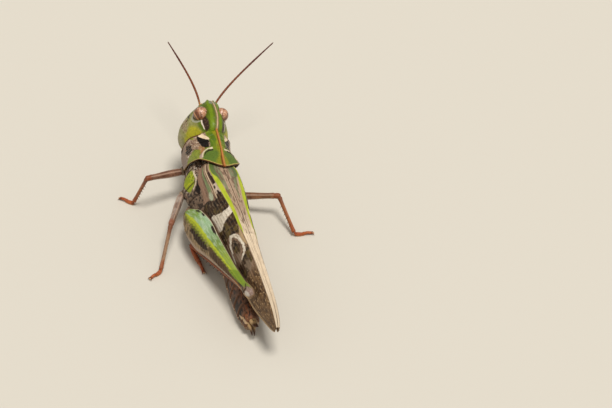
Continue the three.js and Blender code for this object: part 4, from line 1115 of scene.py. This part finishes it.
def walking_femur(word, hip, knee):
    rows = [[-0.06, 0.32, 0.32], [0, 0.4, 0.4], [0.08, 0.5, 0.48], [0.35, 0.52, 0.48], [0.8, 0.39, 0.38],
        [0.93, 0.42, 0.4], [1.0, 0.4, 0.38], [1.03, 0.26, 0.26]]
    p, t, a, _ = limb(hip, knee, UP, rows, 130, 48)
    x = t * np.linalg.norm(knee - hip)
    axis = unit(knee - hip)
    keels = np.abs(np.sin(2.5 * a)) ** 6
    height = 0.045 * keels * step(t, 0.05, 0.12) * step(t, 0.95, 0.88) - 0.05 * hump(t - 0.925, 0.012)
    form = Form()
    form.grid(raised(p, -height), stack(x, a * 0.4, len(word)), keel=keels - 0.5, knee=t - 0.9,
        bands=np.sin(x * 2.4 + 1.0) * 0.3)
    for j in range(16):  # hairs
        c = hip + (knee - hip) * (0.08 + 0.8 * ((j * 0.37) % 1))
        out = unit(np.cross(axis, heading(j * 77.0, 20)))
        spine(form, c + out * 0.36, c + out * 0.62 + axis * 0.12, 0.018)
    pairs = {"front_left": ("#8d6650", "#6c4c3c"), "mid_left": ("#b09e90", "#8a7466")}
    paint = leg_paint("walking_femur_" + word, *pairs.get(word, ("#94684a", "#7a5640")), "#4a2c20")
    paint.mark("bands", "#6a4534", 0.2, 0.3, 0.5, 0.5)
    paint.mark("keel", "#c0a08a", 0.3, 0.1, 0.3, 0.6)
    paint.mark("knee", "#8a4a2c", 0.04, 0.02, 0.3, 0.8)
    form.small("femur_skin_" + word, paint, "walking_leg", "femur_" + word, grain=0.12)


def coxa(word, hip, inside):
    if word.startswith("hind"):
        rows = [[0, 1.0, 0.8], [0.5, 1.1, 0.9], [0.95, 0.7, 0.7], [1.05, 0.4, 0.5]]
    else:
        rows = [[0, 0.8, 0.7], [0.6, 0.75, 0.7], [1.0, 0.5, 0.5], [1.1, 0.3, 0.35]]
    p, t, a, _ = limb(inside, hip, (0, 1, 0), rows, 50, 48)
    height = 0.05 * np.sin(a * 3) - 0.08 * hump(t - 0.8, 0.06)
    form = Form()
    form.grid(raised(p, -height), stack(t * 1.6, a * 0.7, len(word)), seam=0.06 - np.abs(t - 0.8))
    paint = leg_paint("coxa_" + word, "#7d6450", "#a08a70", "#2f2016")
    paint.mark("seam", "#2a1a12", 0.05, 0.02, 0.3, 0.7)
    form.small("coxa_skin_" + word, paint, "walking_leg", "coxa_" + word, rough=0.5, grain=0.12, depth=0.03)


def shin(word, knee, ankle, side, away):
    """away points off the femur, where the two rows of spines stand."""
    axis = unit(ankle - knee)
    length = np.linalg.norm(ankle - knee)
    hind = word.startswith("hind")
    if hind:
        gap, out, colours = 0.3, (side, 0, 0), ("#a05a32", "#8a4a2e", "#3a2016")
        rows = [[0, 0.26, 0.3], [0.03, 0.36, 0.46], [0.08, 0.3, 0.36], [0.5, 0.27, 0.3], [0.93, 0.28, 0.32],
            [0.99, 0.34, 0.36], [1.01, 0.26, 0.28]]
        count, size, thick, spur, spur_thick = 11, 0.55, 0.075, 0.45, 0.07
    else:
        gap, out, colours = 0.12, UP, ("#a4633c", "#8c5636", "#4a2618")
        rows = [[0, 0.2, 0.22], [0.04, 0.3, 0.32], [0.12, 0.25, 0.26], [0.5, 0.23, 0.23],
            [0.92, 0.26, 0.26], [0.99, 0.29, 0.29], [1.01, 0.2, 0.2]]
        count, size, thick, spur, spur_thick = 6, 0.38, 0.05, 0.3, 0.045
    start = knee + axis * gap
    p, t, a, _ = limb(start, ankle, out, rows, 140, 40)
    x = t * length
    form = Form()
    form.grid(raised(p, -0.02 * np.cos(4 * a)), stack(x, a * 0.3, len(word)), top=1.2 - x,
        ring=0.5 - np.abs(x - 2.2), end=x - length + 1.2)
    away = unit(away - axis * (away @ axis))
    flank = np.cross(axis, away)
    for row in WORDS:
        for j in range(count):
            c = start + (ankle - start) * (0.25 + 0.68 * (j + 0.25 * (row > 0)) / count)
            stand = unit(away + row * 0.5 * flank)
            spine(form, c + stand * 0.2, c + stand * (0.22 + size * 0.75) + axis * size * 0.6, thick,
                tip=0.4)
        for lean in (0.8, -0.5):
            stand = unit(away * lean + row * flank)
            spine(form, ankle - axis * 0.15 + stand * 0.2, ankle + axis * 0.3 + stand * spur, spur_thick,
                tip=0.4)
    if word == "mid_left":
        colours = ("#a58468", "#8a644a", "#5a3826")
    paint = leg_paint("shin_" + word, *colours)
    paint.mark("top", "#7b4a34", 0.5, 0.2, 0.4, 0.8)
    if hind:
        paint.mark("ring", "#d3b98c", 0.15, 0.1, 0.4, 0.9)
    paint.mark("end", "#9a4a26", 0.4, 0.2, 0.4, 0.6)
    paint.mark("tip", "#2a140c", 0.3, 0.0, 0.3, 0.8)
    form.small("shin_skin_" + word, paint, "shin", "tibia_" + word)


def foot(word, ankle, toe):
    """Three joints: a long one with pads below, a short one, and a slim one that carries the claws."""
    axis = unit(toe - ankle)
    length = np.linalg.norm(toe - ankle)
    joints = [(0.0, 0.42, 0.27, 0.27), (0.42, 0.58, 0.25, 0.26), (0.58, 1.0, 0.19, 0.2)]
    if word.startswith("hind"):
        joints = [(0.0, 0.48, 0.31, 0.32), (0.48, 0.64, 0.28, 0.28), (0.64, 1.0, 0.21, 0.23)]
    form = Form()
    for first, last, wide, high in joints:
        rows = [[first - 0.01, high * 0.6, wide * 0.6], [first + 0.03, high * 0.9, wide],
            [(first + last) / 2, high, wide], [last - 0.02, high * 0.95, wide * 1.05],
            [last + 0.02, high * 0.55, wide * 0.6]]
        p, t, a, _ = limb(ankle, toe, UP, rows, 40, 32)
        sole = step(-np.cos(a), 0.0, 0.8) * 0.18 * step(t, 0.02, 0.1) * step(t, 0.8,
            0.6) * np.abs(np.sin(t * 22))
        sag = 0.38 * step(t, 0.0, 0.12) * step(t, 0.75, 0.35)
        p = p - (sole + sag)[..., None] * UP
        p[..., 2] = p[..., 2].clip(0)
        form.grid(p, stack(t * length, a * 0.25, len(word)), pad=0.16 - p[..., 2], end=t - 0.95)
    side = unit(np.cross(axis, UP))
    tip = toe - axis * 0.05
    for k in (side, -side):
        claw_tip = tip + axis * 0.36 + k * 0.3 - UP * (tip[2] - 0.06)
        spine(form, tip + k * 0.08, claw_tip, 0.075, bend=UP * 0.12 + k * 0.06, end=0.2)
    k, a = rings(np.radians(np.linspace(5, 175, 14)), 20)
    ball = stack(0.17 * np.sin(k) * np.cos(a), 0.2 * np.cos(k), 0.09 * np.sin(k) * np.sin(a))
    form.grid(tip + axis * 0.16 + ball @ [side, axis, UP], pad=0.1)
    paint = leg_paint("foot_" + word, "#9c4a28", "#b5653a", "#54210f")
    paint.mark("pad", "#c2a078", 0.12, 0.05, 0.3, 0.7)
    paint.mark("end", "#4a1f12", 0.08, 0.02, 0.3, 0.7)
    form.small("foot_skin_" + word, paint, "foot", "tarsus_" + word, rough=0.45)


def make_leg(word, hip_at, knee_at, ankle_at, toe_at):
    side = 1 if word.endswith("left") else -1
    hind = word.startswith("hind")
    hip = room(hip_at)
    knee = room(knee_at) if hind else on_floor(*knee_at)
    ankle, toe = on_floor(*ankle_at, ANKLE), on_floor(*toe_at, TOE)
    coxa(word, hip, room(np.array(hip_at) + [0.2, -side * 1.3, 0.2 if hind else 0.4]))
    if hind:
        hind_femur(word, hip, knee, side)
        away = ankle - hip
    else:
        walking_femur(word, hip, knee)
        away = (hip - ankle) * [1, 1, 0] - UP
    shin(word, knee, ankle, side, away)
    foot(word, ankle, toe)


# ---- tail end: egg-laying valves and the little tail feelers ----
def make_tail():
    form = Form()
    k = np.linspace(0, 1, 22)
    for side in WORDS:
        for rise, z in ((1, -6.55), (-1, -7.35)):
            path = stack(-(23.15 + 1.62 * k), 0.5 + side * (0.3 - 0.14 * k),
                z + rise * (0.05 - 0.3 * k + 0.72 * k * k))
            radius = (0.36 * (1 - k) ** 0.7 + 0.05) * np.where(k < 0.99, 1, 0.4)
            form.tube(room(path), radius, 16, wide=0.75, tip=(k - 0.55)[:, None])
    paint = Paint("valve_horn", "#b89a70")
    paint.cloud("#9a7a52", 0.4, 0, 0.2, 0.7)
    paint.mark("tip", "#3a2014", 0.25, 0.05, 0.2)
    form.small("egg_valves", paint, "ovipositor_horn", "ovipositor", rough=0.35, shade=0.4)
    form = Form()
    for side in WORDS:
        base = np.array([-22.55, 0.5 + side * 0.72, -6.35])
        spine(form, room(base), room(base + [-0.75, side * 0.12, 0.12]), 0.16)
    lump(form, (-23.05, 0.5, -6.1), (0.5, 0.36, 0.13), turned=BODY)
    paint = Paint("tail_feeler", "#a98a62")
    paint.cloud("#7a5a3c", 0.3, 0, 0.2, 0.7)
    form.piece("tail_feelers", paint.finish(0.45, paint.noise(0.1) * 0.02), "ovipositor_horn")


make_pronotum()
make_head()
for body_side in WORDS:
    make_eye(body_side)
    make_wing(body_side)
make_trunk()
make_hind_wings()
make_mouth()
make_ocelli()
make_antenna(1, (-8, 6.5), (22, 13.2))
make_antenna(-1, (-43, -64), (28, 27.5))
for leg_word, places in LEGS.items():
    make_leg(leg_word, *places)
make_tail()

# ---- floor, light and camera ----
FLOOR_HALF = 1.5
paint = Paint("floor_plain", "#d8d2c6")
paint.shade(paint.noise(30.0), 0.02)
floor_mesh = bpy.data.meshes.new("floor")
floor_corners = [(FLOOR_HALF * x, FLOOR_HALF * y, 0) for x, y in ((-1, -1), (1, -1), (1, 1), (-1, 1))]
floor_mesh.from_pydata(floor_corners, [], [(0, 1, 2, 3)])
floor_mesh.materials.append(paint.finish(0.9, specular=0.1))
floor = added("floor", floor_mesh)

AZIMUTH, ELEVATION = math.radians(163.7), math.radians(40)
DISTANCE, LENS, SENSOR = 350, 151.12, 36
TARGET_RIGHT, TARGET_UP = 11.05, -5.15
right = np.array([math.cos(AZIMUTH), math.sin(AZIMUTH), 0])
level = np.cross(right, UP)  # along the floor, toward the camera
toward = math.sin(ELEVATION) * UP + math.cos(ELEVATION) * level
up = np.cross(toward, right)
target = PLACE + TARGET_RIGHT * right + TARGET_UP * up


def aim(made, away):
    """Turns a lamp or camera so that it looks against the direction away."""
    made.rotation_mode = "QUATERNION"
    made.rotation_quaternion = Vector(away).to_track_quat("Z", "Y")


key = bpy.data.lights.new("key", "SUN")
key.energy = 2.35
key.angle = math.radians(18)
key.color = (1.0, 0.98, 0.94)
aim(added("key", key), 0.15 * right + 0.35 * toward * [1, 1, 0] + 0.9 * UP)

world = bpy.data.worlds.new("studio")
bpy.context.scene.world = world
world.use_nodes = True
sky = world.node_tree.nodes["Background"]
sky.inputs["Color"].default_value = (1.0, 0.97, 0.92, 1)
sky.inputs["Strength"].default_value = 0.44

lens = bpy.data.cameras.new("camera")
lens.sensor_width, lens.lens = SENSOR, LENS
lens.clip_start, lens.clip_end = 0.01, 10
camera = added("camera", lens)
camera.location = Vector((target + DISTANCE * toward) * MM)
aim(camera, toward)
bpy.context.scene.camera = camera
bpy.context.scene.view_settings.view_transform = "Standard"
